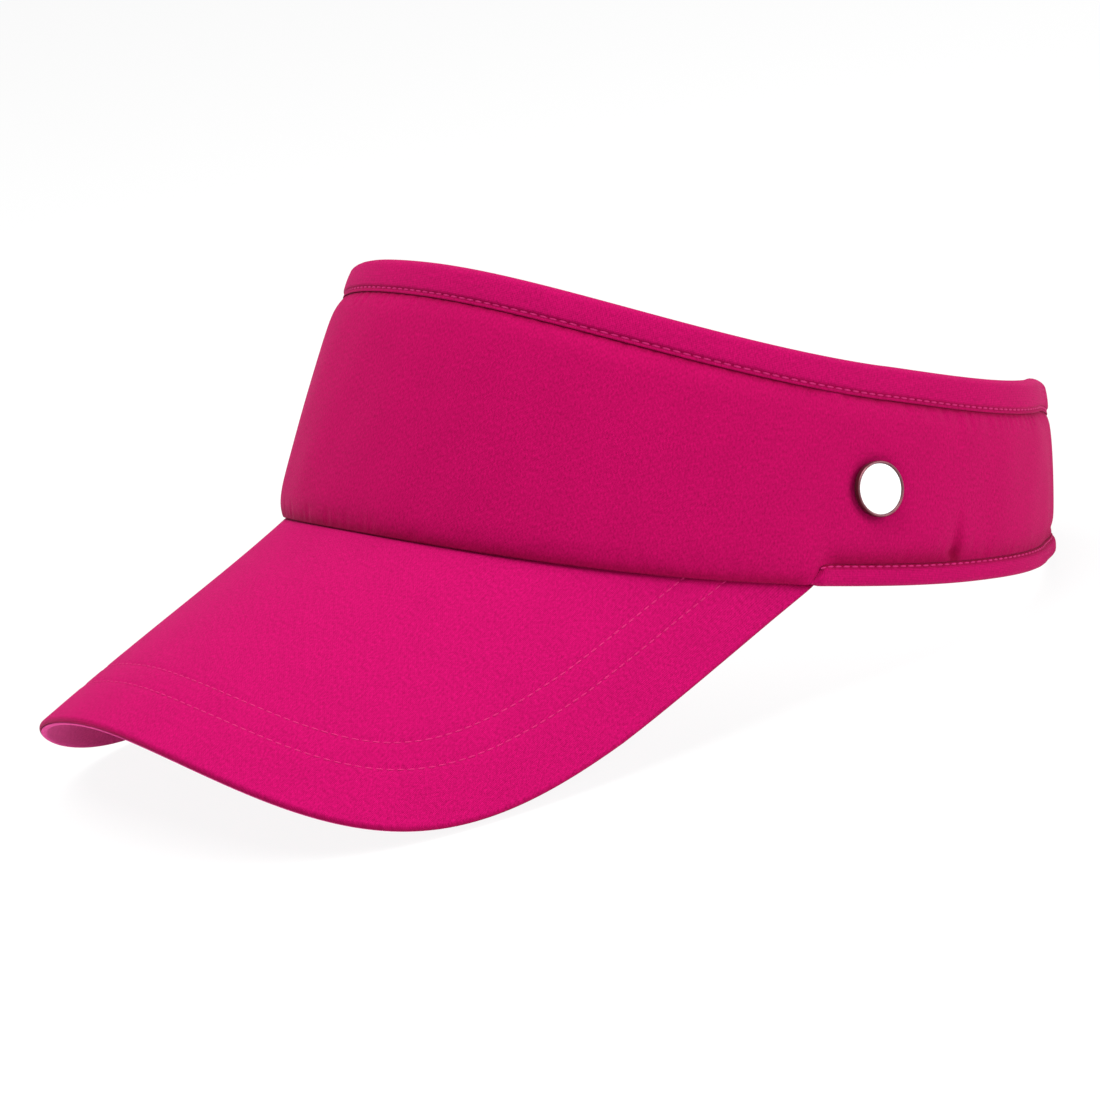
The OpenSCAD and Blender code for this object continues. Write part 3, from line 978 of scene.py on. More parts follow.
def new_tree(name: str, inputs: dict[str, str]) -> Nodes:
    """Make a Geometry Nodes tree with named inputs.

    Args:
        name: Name of the tree.
        inputs: Name and socket type of each input after the geometry.

    Returns:
        The tree, with its geometry sockets made.
    """
    tree = bpy.data.node_groups.new(name, "GeometryNodeTree")
    tree.interface.new_socket("Geometry", in_out="INPUT", socket_type="NodeSocketGeometry")
    for label, kind in inputs.items():
        tree.interface.new_socket(label, in_out="INPUT", socket_type=kind)
    tree.interface.new_socket("Geometry", in_out="OUTPUT", socket_type="NodeSocketGeometry")
    return Nodes(tree)


def end_tree(nodes: Nodes, instances: bpy.types.NodeSocket, given: bpy.types.Node) -> None:
    """Close a tree with Realize Instances, smooth shading and Set Material."""
    real = nodes.add("GeometryNodeRealizeInstances")
    soft = nodes.add("GeometryNodeSetShadeSmooth")
    paint = nodes.add("GeometryNodeSetMaterial")
    result = nodes.add("NodeGroupOutput")
    nodes.wire(instances, real.inputs[0])
    nodes.wire(real.outputs[0], soft.inputs[0])
    nodes.wire(soft.outputs[0], paint.inputs["Geometry"])
    nodes.wire(given.outputs["Material"], paint.inputs["Material"])
    nodes.wire(paint.outputs[0], result.inputs[0])


@lru_cache(maxsize=None)
def stitch_tree() -> bpy.types.NodeTree:
    """Make the tree that lays stitches along paths that carry an out direction."""
    nodes = new_tree("sewn_row", {
        "Pitch": "NodeSocketFloat",
        "Stitch": "NodeSocketVector",
        "Material": "NodeSocketMaterial",
    })
    given = nodes.add("NodeGroupInput")
    path = nodes.add("GeometryNodeMeshToCurve")
    spaced = nodes.add("GeometryNodeResampleCurve", mode="LENGTH")
    bead = nodes.add("GeometryNodeMeshUVSphere")
    set_inputs(bead, {"Segments": 8, "Rings": 6, "Radius": 0.5})
    along = nodes.add("GeometryNodeInputTangent")
    out = nodes.add("GeometryNodeInputNamedAttribute", data_type="FLOAT_VECTOR")
    out.inputs["Name"].default_value = OUT_NAME
    turn = nodes.add("FunctionNodeAxesToRotation", primary_axis="X", secondary_axis="Z")
    laid = nodes.add("GeometryNodeInstanceOnPoints")
    nodes.wire(given.outputs["Geometry"], path.inputs[0])
    nodes.wire(path.outputs[0], spaced.inputs["Curve"])
    nodes.wire(given.outputs["Pitch"], spaced.inputs["Length"])
    nodes.wire(along.outputs[0], turn.inputs[0])
    nodes.wire(out.outputs[0], turn.inputs[1])
    nodes.wire(spaced.outputs[0], laid.inputs["Points"])
    nodes.wire(bead.outputs[0], laid.inputs["Instance"])
    nodes.wire(turn.outputs[0], laid.inputs["Rotation"])
    nodes.wire(given.outputs["Stitch"], laid.inputs["Scale"])
    end_tree(nodes, laid.outputs[0], given)
    return nodes.tree


@lru_cache(maxsize=None)
def tuft_tree() -> bpy.types.NodeTree:
    """Make the tree that scatters small bent threads over a face."""
    nodes = new_tree("tufted_face", {
        "Density": "NodeSocketFloat",
        "Height": "NodeSocketFloat",
        "Thread": "NodeSocketFloat",
        "Sweep": "NodeSocketFloat",
        "Seed": "NodeSocketInt",
        "Material": "NodeSocketMaterial",
    })
    given = nodes.add("NodeGroupInput")
    spread = nodes.add("GeometryNodeDistributePointsOnFaces")
    arc = nodes.add("GeometryNodeCurveArc")
    arc.inputs["Resolution"].default_value = 6
    section = nodes.add("GeometryNodeCurvePrimitiveCircle")
    section.inputs["Resolution"].default_value = 3
    stand = nodes.add("GeometryNodeTransform")
    stand.inputs["Rotation"].default_value = (math.pi / 2, 0.0, 0.0)
    tube_mesh = nodes.add("GeometryNodeCurveToMesh")
    spin = nodes.add("FunctionNodeRandomValue", data_type="FLOAT")
    spin.inputs[3].default_value = 2 * math.pi
    twist = nodes.add("FunctionNodeAxisAngleToRotation")
    twist.inputs["Axis"].default_value = (0.0, 0.0, 1.0)
    turn = nodes.add("FunctionNodeRotateRotation", rotation_space="LOCAL")
    laid = nodes.add("GeometryNodeInstanceOnPoints")
    nodes.wire(given.outputs["Geometry"], spread.inputs["Mesh"])
    nodes.wire(given.outputs["Density"], spread.inputs["Density"])
    nodes.wire(given.outputs["Seed"], spread.inputs["Seed"])
    nodes.wire(given.outputs["Height"], arc.inputs["Radius"])
    nodes.wire(nodes.math("RADIANS", given.outputs["Sweep"]), arc.inputs["Sweep Angle"])
    nodes.wire(given.outputs["Thread"], section.inputs["Radius"])
    nodes.wire(arc.outputs[0], stand.inputs[0])
    nodes.wire(stand.outputs[0], tube_mesh.inputs["Curve"])
    nodes.wire(section.outputs[0], tube_mesh.inputs["Profile Curve"])
    nodes.wire(spin.outputs[1], twist.inputs["Angle"])
    nodes.wire(spread.outputs["Rotation"], turn.inputs["Rotation"])
    nodes.wire(twist.outputs[0], turn.inputs["Rotate By"])
    nodes.wire(spread.outputs["Points"], laid.inputs["Points"])
    nodes.wire(tube_mesh.outputs[0], laid.inputs["Instance"])
    nodes.wire(turn.outputs[0], laid.inputs["Rotation"])
    end_tree(nodes, laid.outputs[0], given)
    return nodes.tree


def repeat(name: str, base: bpy.types.Mesh, tree: bpy.types.NodeTree, **values: object) -> bpy.types.Object:
    """Run a tree over a base mesh and keep the result as a plain piece.

    Args:
        name: Name of the piece.
        base: Mesh of paths or faces to repeat over.
        tree: Geometry Nodes tree.
        values: Values of the tree's named inputs.

    Returns:
        The new object, with a plain mesh.
    """
    guide = bpy.data.objects.new(name + "_guide", base)
    bpy.context.scene.collection.objects.link(guide)
    modifier = guide.modifiers.new("repeat", "NODES")
    modifier.node_group = tree
    for item in tree.interface.items_tree:
        if item.in_out == "INPUT" and item.name in values:
            modifier[item.identifier] = values[item.name]
    bpy.context.view_layer.update()
    graph = bpy.context.evaluated_depsgraph_get()
    mesh = bpy.data.meshes.new_from_object(guide.evaluated_get(graph), depsgraph=graph)
    mesh.name = name
    guide.modifiers.clear()
    bpy.data.objects.remove(guide)
    bpy.data.meshes.remove(base)
    mesh.materials.clear()
    piece = add_object(name, mesh)
    mesh.materials.append(values["Material"])
    mesh.polygons.foreach_set("material_index", [0] * len(mesh.polygons))
    return piece


def path_mesh(name: str, rows: Sequence[Row]) -> bpy.types.Mesh:
    """Make a mesh of edges from rows of points with their out directions."""
    mesh = bpy.data.meshes.new(name)
    points, edges, count = [], [], 0
    for path, _ in rows:
        points += path.tolist()
        edges += [(count + k, count + k + 1) for k in range(len(path) - 1)]
        count += len(path)
    mesh.from_pydata(points, edges, [])
    out = mesh.attributes.new(OUT_NAME, "FLOAT_VECTOR", "POINT")
    out.data.foreach_set("vector", np.concatenate([n for _, n in rows]).astype(np.float32).ravel())
    return mesh


def face_mesh(name: str, points: Array) -> bpy.types.Mesh:
    """Make an open grid mesh, to scatter over."""
    _, quads = grid_quads(*points.shape[:2])
    mesh = bpy.data.meshes.new(name)
    mesh.from_pydata(points.reshape(-1, 3).tolist(), [], quads.tolist())
    return mesh


@dataclass(frozen=True)
class Thread:
    """Size of one kind of stitch."""

    pitch: float = 2.6 * MM
    length: float = 2.15 * MM
    width: float = 0.6 * MM
    height: float = 0.4 * MM
    finish: PlainFinish = THREAD

    def sew(self, name: str, rows: Sequence[Row]) -> bpy.types.Object:
        """Lay stitches along rows of points with out directions.

        Args:
            name: Name of the piece.
            rows: Points and out directions of each row.

        Returns:
            The new object.
        """
        return repeat(
            name, path_mesh(name, rows), stitch_tree(), Pitch=self.pitch,
            Stitch=(self.length, self.width, self.height), Material=self.finish.material(),
        )


@dataclass(frozen=True)
class Pile:
    """One kind of small bent thread that covers a face."""

    finish: PlainFinish
    density: float
    height: float
    thread: float
    sweep: float
    seed: int

    def grow(self, name: str, points: Array) -> bpy.types.Object:
        """Scatter threads over a face.

        Args:
            name: Name of the piece.
            points: Grid of the face.

        Returns:
            The new object.
        """
        return repeat(
            name, face_mesh(name, points), tuft_tree(), Density=self.density, Height=self.height,
            Thread=self.thread, Sweep=self.sweep, Seed=self.seed, Material=self.finish.material(),
        )


TOWEL_LOOPS = Pile(TOWELLING, 460000.0, 0.42 * MM, 0.13 * MM, 180.0, 11)
TAPE_LOOPS = Pile(LOOP_NYLON, 2.2e6, 0.28 * MM, 0.05 * MM, 180.0, 5)
TAPE_HOOKS = Pile(HOOK_NYLON, 0.9e6, 0.4 * MM, 0.08 * MM, 140.0, 3)


# Sub-assemblies.


@dataclass(frozen=True)
class PaintedCreaseShade:
    """Painted shade on the band's cloth in its seams and folds, from 0 to 1, and how far the shade reaches.
    """

    padded: float = 0.68
    strap: float = 0.36
    seam_reach: float = 2.2 * MM
    hem_reach: float = 3.2 * MM
    binding: float = 0.75
    binding_reach: float = 0.8 * MM
    fold: float = 0.6
    fold_past: float = 0.5
    fold_reach: float = 8.0 * MM
    tip: float = 0.9
    tip_past: float = 1.2
    tip_width: float = 2.0

    def painted_shades(self, shape: BandShape, a: Array, s: Array) -> Array:
        """Return the painted shade of the cloth in its seams and folds.

        Args:
            shape: Shape of the band.
            a: Angles in degrees.
            s: Heights up the wall.

        Returns:
            Painted shades from 0 to 1.
        """
        up, turn = s - shape.pad_low(a), np.abs(a)
        reach = mix(self.seam_reach, self.hem_reach, shape.hemmed(a))
        painted_shade = mix(self.padded, self.strap, shape.thin(a)) * bell(np.maximum(up, 0.0) / reach)
        painted_shade += self.binding * bell((shape.pad_high(a) - s) / self.binding_reach)
        shade_amount = self.fold * shape.gathered(a) * bell(turn - shape.fold_angle - self.fold_past)
        painted_shade += shade_amount * bell(up / self.fold_reach)
        return painted_shade * (1 - self.tip * bell((turn - shape.brim_angle - self.tip_past) / self.tip_width))


@dataclass
class Band:
    """Padded cloth, lining and towelling strip."""

    shape: BandShape
    crease_shading: PaintedCreaseShade = PaintedCreaseShade()
    step: float = 0.5
    rows: int = 46
    tuck: float = 2.0 * MM
    seam_up: float = 0.15 * MM
    seam_in: float = 1.1 * MM
    binding_in: float = 0.7 * MM
    least_t: float = 0.4 * MM
    lining_rows: int = 24
    lining_low: float = 0.4 * MM
    lining_high: float = 1.0 * MM
    towel_angle: float = 72.0
    towel_up: float = 1.3 * MM
    towel_w: float = 32.0 * MM
    towel_gap: float = 0.1 * MM
    towel_edge: float = 0.25 * MM
    towel_rise: float = 0.65 * MM
    towel_grid: tuple[int, int] = (145, 15)
    towel_powers: tuple[float, float] = (40.0, 6.0)
    sim_step: int = 2
    sim_scale: float = 10.0
    sim_frames: int = 20
    sim_pressure: float = 4.0
    sim_cap: float = 0.5 * MM
    sim_badge: float = 11.0 * MM
    cloth: bpy.types.Object | None = None
    lining: bpy.types.Object | None = None
    towel: bpy.types.Object | None = None
    loops: bpy.types.Object | None = None

    def faces(self, a: Array) -> tuple[Array, Array, Array]:
        """Return heights, offsets and painted crease shades of the outer cloth, with its edges tucked away.

        Args:
            a: Column of angles.

        Returns:
            Heights, offsets and painted shades, one row of each per angle.
        """
        shape = self.shape
        low, high = shape.pad_low(a), shape.pad_high(a)
        x = (1 - np.cos(np.linspace(0.0, math.pi, self.rows))) / 2
        s = low + (high - low) * x
        off = shape.outer(a, s) - shape.dimples(a, s)
        first = mix(low + self.seam_up, low - self.tuck, shape.hemmed(a))
        s = np.concatenate([first, s, high + self.tuck], axis=1)
        off = np.concatenate([off[:, :1] - self.seam_in, off, off[:, -1:] - self.binding_in], axis=1)
        return s, off, self.crease_shading.painted_shades(shape, a, s)

    def build(self) -> None:
        """Make the padded cloth, the lining and the towelling strip."""
        shape = self.shape
        count = int((shape.split - shape.start) / self.step) + 1
        a = np.linspace(shape.start, shape.split, count)[:, None]
        s, off, painted_shade = self.faces(a)
        back = np.minimum(shape.inner(a, s) + shape.lining_t, off - self.least_t)
        front, back = shape.place(a, s, off), shape.place(a, s, back)
        data = slab(self.inflated(front, back), back, crease=painted_shade)
        self.cloth = add_piece("band_padded_cloth", data, SHELL_CLOTH)
        k = np.linspace(0.0, 1.0, self.lining_rows)
        s = mix(self.lining_low, shape.slant(a) - self.lining_high, k)
        face = shape.inner(a, s)
        data = slab(shape.place(a, s, face + shape.lining_t), shape.place(a, s, face))
        self.lining = add_piece("band_inner_lining", data, LINING_CLOTH)
        self.build_towel()

    def inflated(self, front: Array, back: Array) -> Array:
        """Return the outer face blown up a little between its sewn edges.

        A coarse closed copy, ten times as large, is run as cloth under pressure.  Its back, its edges and
        the cloth round the badge are pinned.  The way that its front moved is spread over the fine grid.

        Args:
            front: Fine grid of the outer face.
            back: Fine grid behind it.

        Returns:
            The outer face after the pressure.
        """
        n, m = front.shape[:2]
        i, j = (np.unique(np.append(np.arange(0, count, self.sim_step), count - 1)) for count in (n, m))
        pick = np.ix_(i, j)
        data = slab(front[pick] * self.sim_scale, back[pick] * self.sim_scale)
        shape = self.shape
        badge = shape.place(shape.badge_angle, shape.badge_up, shape.wall_t)
        pinned = np.linalg.norm(front[pick] - badge, axis=-1) < self.sim_badge
        for sewn in (pinned[:1], pinned[-1:], pinned[:, :2], pinned[:, -2:]):
            sewn[:] = True
        count = pinned.size
        held = np.concatenate([np.nonzero(pinned.ravel())[0], np.arange(count, 2 * count)])
        after = self.run_cloth(data.mesh("band_cloth_trial"), held.tolist())
        moved = (after[:count] - data.points[:count]).reshape(*pinned.shape, 3) / self.sim_scale
        size = np.linalg.norm(moved, axis=-1, keepdims=True)
        LOG.info("pressure moved the cloth by up to %.2f mm", size.max() / MM)
        moved *= np.minimum(1.0, self.sim_cap / np.maximum(size, 1e-9))
        return front + stretch(stretch(moved, i, n, 0), j, m, 1)

    def run_cloth(self, mesh: bpy.types.Mesh, held: list[int]) -> Array:
        """Run a closed mesh as cloth under pressure.

        Args:
            mesh: The mesh, which is removed afterwards.
            held: Numbers of the points that stay where they are.

        Returns:
            The points after the last frame.
        """
        scene = bpy.context.scene
        trial = add_object("band_cloth_trial", mesh)
        trial.vertex_groups.new(name="held").add(held, 1.0, "REPLACE")
        cloth = trial.modifiers.new("cloth", "CLOTH")
        cloth.point_cache.frame_start, cloth.point_cache.frame_end = 1, self.sim_frames
        rules = cloth.settings
        rules.quality, rules.mass = 6, 0.1
        rules.tension_stiffness = rules.compression_stiffness = 12.0
        rules.shear_stiffness, rules.bending_stiffness = 6.0, 0.4
        rules.vertex_group_mass = "held"
        rules.use_pressure, rules.uniform_pressure_force = True, self.sim_pressure
        rules.shrink_min = -0.005
        rules.effector_weights.gravity = 0.0
        for number in range(1, self.sim_frames + 1):
            scene.frame_set(number)
        shown = trial.evaluated_get(bpy.context.evaluated_depsgraph_get()).data
        after = np.empty(len(shown.vertices) * 3, dtype=np.float32)
        shown.vertices.foreach_get("co", after)
        bpy.data.objects.remove(trial)
        bpy.data.meshes.remove(mesh)
        scene.frame_set(1)
        return after.reshape(-1, 3).astype(float)

    def build_towel(self) -> None:
        """Make the towelling strip with its loops."""
        shape = self.shape
        columns, rows = self.towel_grid
        end_power, edge_power = self.towel_powers
        a = np.linspace(-self.towel_angle, self.towel_angle, columns)[:, None]
        k = np.linspace(0.0, 1.0, rows)
        s = self.towel_up + self.towel_w * k + 0.0 * a
        crown = rounded(2 * k - 1, edge_power) * rounded(a / self.towel_angle, end_power)
        face = -self.towel_gap - self.towel_edge - self.towel_rise * crown
        data = slab(shape.place(a, s, -self.towel_gap), shape.place(a, s, face))
        self.towel = add_piece("towelling_strip", data, TOWELLING)
        self.loops = TOWEL_LOOPS.grow("towelling_loops", shape.place(a[::-1], s, face))

    def dress(self) -> None:
        """Fix the pieces to the visor and hide the solids that they replace."""
        settle(self.cloth, Body.VISOR, Slot.SHELL, "band_shell", "band_foam")
        settle(self.lining, Body.VISOR, Slot.LINING, "band_lining")
        settle(self.towel, Body.VISOR, Slot.TOWEL, "sweatband")
        settle(self.loops, Body.VISOR, Slot.TOWEL)


@dataclass(frozen=True)
class Tape:
    """Cross-section of a folded tape, drawn at stations along an edge."""

    shape: BandShape
    thick: float = 0.6 * MM
    fold: float = 1.9 * MM
    fold_share: float = 0.45
    core: float = 1.3
    lip: float = 0.35 * MM
    inner_lip: float = 0.2 * MM
    inner_puff: float = 0.3
    groove: float = 0.5 * MM
    groove_w: float = 0.55 * MM
    # Strength of the painted shade in the stitched valley and at the lip.
    crease: float = 0.7
    lip_shade_w: float = 0.3 * MM
    tuck: float = 0.1 * MM
    leg_points: int = 26
    leg_crowding: float = 1.5
    inner_points: int = 7
    turn_points: int = 12

    def spot(self, stations: Array, d: Array) -> tuple[Array, Array]:
        """Return angles and heights at a distance in from the edge."""
        a = Station.ANGLE.of(stations) + Station.TURN.of(stations) * d
        return a, Station.HEIGHT.of(stations) + Station.RISE.of(stations) * d

    def bend(self, stations: Array) -> Array:
        """Return the radius of the fold at each station."""
        return np.minimum(self.fold, self.fold_share * Station.LEG.of(stations))

    def across(self, stations: Array) -> Array:
        """Return the distances of the outer leg's points from the edge, close together at the leg's end."""
        leg = Station.LEG.of(stations)
        crowded = np.linspace(0.0, 1.0, self.leg_points) ** self.leg_crowding
        return leg - (leg - self.bend(stations)) * crowded

    def outside(self, stations: Array, d: Array) -> Array:
        """Return the offset of the tape's outer leg.

        Args:
            stations: Stations along the edge.
            d: Distances in from the edge.

        Returns:
            Offsets.
        """
        leg = Station.LEG.of(stations)
        full = np.minimum(leg / self.shape.hem_w, 1.0)
        y = np.clip(d / leg, 0.0, 1.0)
        valley = self.groove * bell((d - leg + Station.SEWN.of(stations)) / self.groove_w)
        bulge = self.lip + Station.PUFF.of(stations) * rounded(2 * y - 1, 2.0) - valley
        return self.shape.outer(*self.spot(stations, d)) + full * bulge

    def rings(self, stations: Array) -> Array:
        """Return closed rings of points, one per station.

        Args:
            stations: Stations along the edge.

        Returns:
            Rings, n by m by 3.
        """
        leg, fold = Station.LEG.of(stations), self.bend(stations)
        d_out = self.across(stations)
        off_out = self.outside(stations, d_out)
        d_in = fold + (leg - fold) * np.linspace(0.0, 1.0, self.inner_points)
        puff = self.inner_puff * Station.PUFF.of(stations) * rounded(2 * d_in / leg - 1, 2.0)
        off_in = self.shape.bound(*self.spot(stations, d_in)) - self.inner_lip - puff
        turn = np.linspace(0.0, math.pi, self.turn_points)[1:-1]
        middle, half = (off_out[:, -1:] + off_in[:, :1]) / 2, (off_out[:, -1:] - off_in[:, :1]) / 2
        d_turn = fold * (1 - np.sin(turn))
        off_turn = middle + half * np.cos(turn)
        inner_end, outer_end = off_in[:, -1:] + self.thick, off_out[:, :1] - self.thick
        d_back = np.concatenate([leg - self.tuck, self.core * fold, leg - self.tuck], axis=1)
        off_back = np.concatenate([inner_end, middle, outer_end], axis=1)
        d = np.concatenate([d_out, d_turn, d_in, d_back], axis=1)
        off = np.concatenate([off_out, off_turn, off_in, off_back], axis=1)
        a, s = self.spot(stations, d)
        return self.shape.place(a, s, off)

    def painted_shades(self, stations: Array, rings: Array) -> Array:
        """Return the painted shade of each point of the rings, in the stitched valley and at the lip."""
        leg = Station.LEG.of(stations)
        gap = self.across(stations) - leg
        painted_shade = np.zeros(rings.shape[:2])
        sewn = bell((gap + Station.SEWN.of(stations)) / self.groove_w)
        painted_shade[:, :self.leg_points] = self.crease * (sewn + bell(gap / self.lip_shade_w))
        return painted_shade * np.minimum(leg / self.shape.hem_w, 1.0) ** 2

    def data(self, stations: Array) -> MeshData:
        """Return the tape's mesh data along its stations."""
        rings = self.rings(stations)
        return tube(rings, crease=self.painted_shades(stations, rings))

    def sewing(self, stations: Array) -> Row:
        """Return the path of the stitches and its out directions."""
        d = Station.LEG.of(stations) - Station.SEWN.of(stations)
        a, s = self.spot(stations, d)
        path = self.shape.place(a, s, self.outside(stations, d))[:, 0]
        return path, self.shape.worn(self.shape.outward(a[:, 0]))


@dataclass
class Edges:
    """Binding round the top edge and hems behind the brim."""

    shape: BandShape
    hem_start: float = 81.2
    step: float = 0.5
    bare: int = 2
    sewn_from: float = 0.9
    puff: float = 0.7 * MM
    sewn: float = 1.1 * MM
    hem_puff: float = 1.1 * MM
    hem_sewn: float = 0.55 * MM
    top: bpy.types.Object | None = None
    hems: list[bpy.types.Object] = field(default_factory=list)
    stitches: bpy.types.Object | None = None

    def top_stations(self, a: Array) -> Array:
        """Return stations along the top edge."""
        columns = [a, 0.0, self.shape.slant(a), -1.0, self.shape.bind_w, self.puff, self.sewn]
        return np.stack(np.broadcast_arrays(*columns), axis=-1)

    def low_stations(self, a: Array) -> Array:
        """Return stations along the lower edge."""
        drop = self.shape.hem_drop(a)
        columns = [a, 0.0, -drop, 1.0, self.shape.pad_low(a) + drop, self.hem_puff, self.hem_sewn]
        return np.stack(np.broadcast_arrays(*columns), axis=-1)

    def run(self, start: float, end: float) -> Array:
        """Return evenly spaced angles."""
        return np.linspace(start, end, int(abs(end - start) / self.step) + 1)

    def build(self) -> None:
        """Make the tapes and their stitches."""
        shape, tape = self.shape, Tape(self.shape)
        top = self.top_stations(self.run(shape.start, shape.split))
        self.top = add_piece("top_edge_binding", tape.data(top), TAPE_CLOTH)
        rows = [tape.sewing(top[self.bare:])]
        for side, end in ((Side.LEFT, shape.split), (Side.RIGHT, -shape.start)):
            low = self.low_stations(side.value * self.run(self.hem_start, end))
            self.hems.append(add_piece(f"{side.name.lower()}_hem_tape", tape.data(low), TAPE_CLOTH))
            full = low[low[:, Station.LEG] > self.sewn_from * shape.hem_w]
            rows.append(tape.sewing(full[:-self.bare]))
        self.stitches = Thread().sew("band_stitches", rows)

    def dress(self) -> None:
        """Fix the pieces to the visor."""
        settle(self.top, Body.VISOR, Slot.BINDING, "top_binding")
        for hem, node in zip(self.hems, ("hem_left", "hem_right")):
            settle(hem, Body.VISOR, Slot.BINDING, node)
        settle(self.stitches, Body.VISOR, Slot.BINDING)


@dataclass
class Brim:
    """Upper and lower cloth of the brim, the board between them, and two rows of stitches."""

    shape: BrimShape
    thread: Thread = Thread(2.5 * MM, 2.0 * MM, 0.45 * MM, 0.3 * MM, BRIM_THREAD)
    reach: float = 0.999
    columns: int = 281
    rows: int = 120
    cloth_t: float = 0.3 * MM
    round_r: float = 1.2 * MM
    round_points: int = 8
    lip_share: float = 0.5
    tip_run: float = 0.06
    tip_share: float = 0.22
    tucks: tuple[float, float] = (1.2 * MM, 0.5 * MM)
    lower_off: float = 0.9 * MM
    end_past: float = 1.8
    end_up: float = 0.7 * MM
    edge_rows: tuple[float, float] = (15.0 * MM, 22.0 * MM)
    groove: float = 0.22 * MM
    groove_w: float = 0.75 * MM
    # Painted shade along the seam into the band and round the brim's outer edge.
    seam_shade: float = 0.65
    seam_shade_w: float = 1.3 * MM
    rim_shade: tuple[float, float] = (0.1, 0.95)
    board_span: tuple[slice, slice] = (slice(22, -22), slice(3, -4))
    board_faces: tuple[float, float] = (0.75 * MM, 1.75 * MM)
    upper: bpy.types.Object | None = None
    lower: bpy.types.Object | None = None
    board: bpy.types.Object | None = None
    stitches: bpy.types.Object | None = None

    @property
    def along(self) -> Array:
        """Places of the columns along the brim."""
        return self.reach * np.sin(np.linspace(-1.0, 1.0, self.columns) * math.pi / 2)[:, None]

    @property
    def share(self) -> Array:
        """Share of the full thickness in each column, which thins towards the brim's ends."""
        ends = smooth((np.abs(self.along) - self.reach + self.tip_run) / self.tip_run)
        return mix(1.0, self.tip_share, ends)[..., None]

    def grid(self) -> tuple[Array, Array, Array]:
        """Return the sheet's points, its normals and the direction out of its edge.

        Returns:
            Points and normals, n by m by 3, and edge directions, n by 1 by 3, all in the band's own frame.
        """
        v = np.linspace(0.0, 1.0, self.rows)[None, :]
        points = self.shape.flat(self.along, v)
        normals = grid_normals(points)
        rim = points[:, -1]
        along = unit(np.gradient(rim, axis=0))
        out = unit(np.cross(along, normals[:, -1]))[:, None]
        return points - out * self.round_r * self.share * v[..., None] ** 3, normals, out

    def edge_gap(self, points: Array) -> Array:
        """Return each point's distance to the brim's outer edge."""
        rim = points[:, -1]
        gap = np.empty(points.shape[:2])
        for k in range(len(points)):
            gap[k] = np.linalg.norm(points[k][:, None] - rim[None], axis=-1).min(axis=1)
        return gap + self.round_r

    def row_path(self, points: Array, gap: Array, inset: float, normals: Array) -> Row:
        """Return the path at one distance in from the edge.

        Args:
            points: Grid of the face that is sewn.
            gap: Distance of each grid point to the edge.
            inset: Distance of the path to the edge.
            normals: Out directions of the grid.

        Returns:
            Points and out directions of the path.
        """
        path, out = [], []
        for column in range(len(points)):
            far = np.nonzero(gap[column] >= inset)[0]
            if len(far) == 0 or far[-1] + 1 >= gap.shape[1]:
                continue
            j = far[-1]
            t = (gap[column, j] - inset) / max(gap[column, j] - gap[column, j + 1], 1e-9)
            path.append(mix(points[column, j], points[column, j + 1], t))
            out.append(normals[column, j])
        return np.array(path), np.array(out)

    def build(self) -> None:
        """Make both covers, the board and the stitches."""
        points, normals, out = self.grid()
        gap = self.edge_gap(points)
        grooves = [self.groove * bell((gap - inset) / self.groove_w) for inset in self.edge_rows]
        valley = sum(grooves)[..., None]
        thick, r = self.shape.thick * self.share, self.round_r * self.share
        top, low = points - normals * valley, points - normals * (thick - valley)
        turn = np.linspace(0.0, math.pi / 2, self.round_points)[1:, None]
        rim = points[:, -1:] + out * r * np.sin(turn)
        rim_n, drop = normals[:, -1:], r * (1 - np.cos(turn))
        face = self.wrapped(self.shape.seam_off, top, rim - rim_n * drop, out * r)
        # Painted shade, darkest at the seam and over the turn of the outer edge.
        from_seam = np.maximum(run_length(face, 1) - self.tucks[0], 0.0)
        painted_shade = self.seam_shade * bell(from_seam / self.seam_shade_w)
        painted_shade[:, -self.round_points:] = np.linspace(*self.rim_shade, self.round_points)
        self.upper = self.cover("brim_upper_cloth", face, self.cloth_t, BRIM_CLOTH, painted_shade)
        self.board = self.stiffener(points, normals)
        face = self.wrapped(self.lower_off, low, rim - rim_n * (thick - drop), out * r)
        self.lower = self.cover("brim_lower_cloth", face, -self.cloth_t, UNDER_CLOTH)
        rows = []
        worn = self.shape.band.worn
        for inset in self.edge_rows:
            for sewn, way in ((top, 1.0), (low, -1.0)):
                path, up = self.row_path(sewn, gap, inset, normals)
                rows.append((worn(path), worn(way * up)))
        self.stitches = self.thread.sew("brim_stitches", rows)

    def wrapped(self, off: float, face: Array, arc: Array, edge: Array) -> Array:
        """Return a cover's whole outer face, from the seam to the lip inside the brim's edge.

        Args:
            off: Offset of the rows that run up into the band's seam.
            face: Plain part of the cover.
            arc: Rows that turn round the brim's edge.
            edge: Way out from the plain part to the edge.

        Returns:
            The grid, in the band's own frame.
        """
        band, s = self.shape.band, np.array([self.tucks])
        seam = band.raw(self.along * band.brim_angle, s, off)
        return np.concatenate([seam, face, arc, arc[:, -1:] - self.lip_share * edge], axis=1)

    def tucked(self, face: Array) -> Array:
        """Return a face with a column more at each end, drawn in behind the hem.

        Args:
            face: Grid in the band's own frame.

        Returns:
            The longer grid.
        """
        band = self.shape.band
        off = np.linspace(self.shape.seam_off, band.wall_t, face.shape[1])
        end = band.brim_angle + self.end_past
        first, last = (band.raw(way * end, self.end_up, off)[None] for way in (-1.0, 1.0))
        return np.concatenate([first, face, last])

    def stiffener(self, points: Array, normals: Array) -> bpy.types.Object:
        """Make the board between the covers, short of their edge and of the brim's ends.

        Args:
            points: Grid of the brim's upper face.
            normals: Its normals.

        Returns:
            The new object.
        """
        span = self.board_span
        top, down = points[span], normals[span] * self.share[span[0]]
        upper, lower = (self.shape.band.worn(top - down * depth) for depth in self.board_faces)
        return add_piece("brim_stiffener", slab(upper, lower), BOARD)

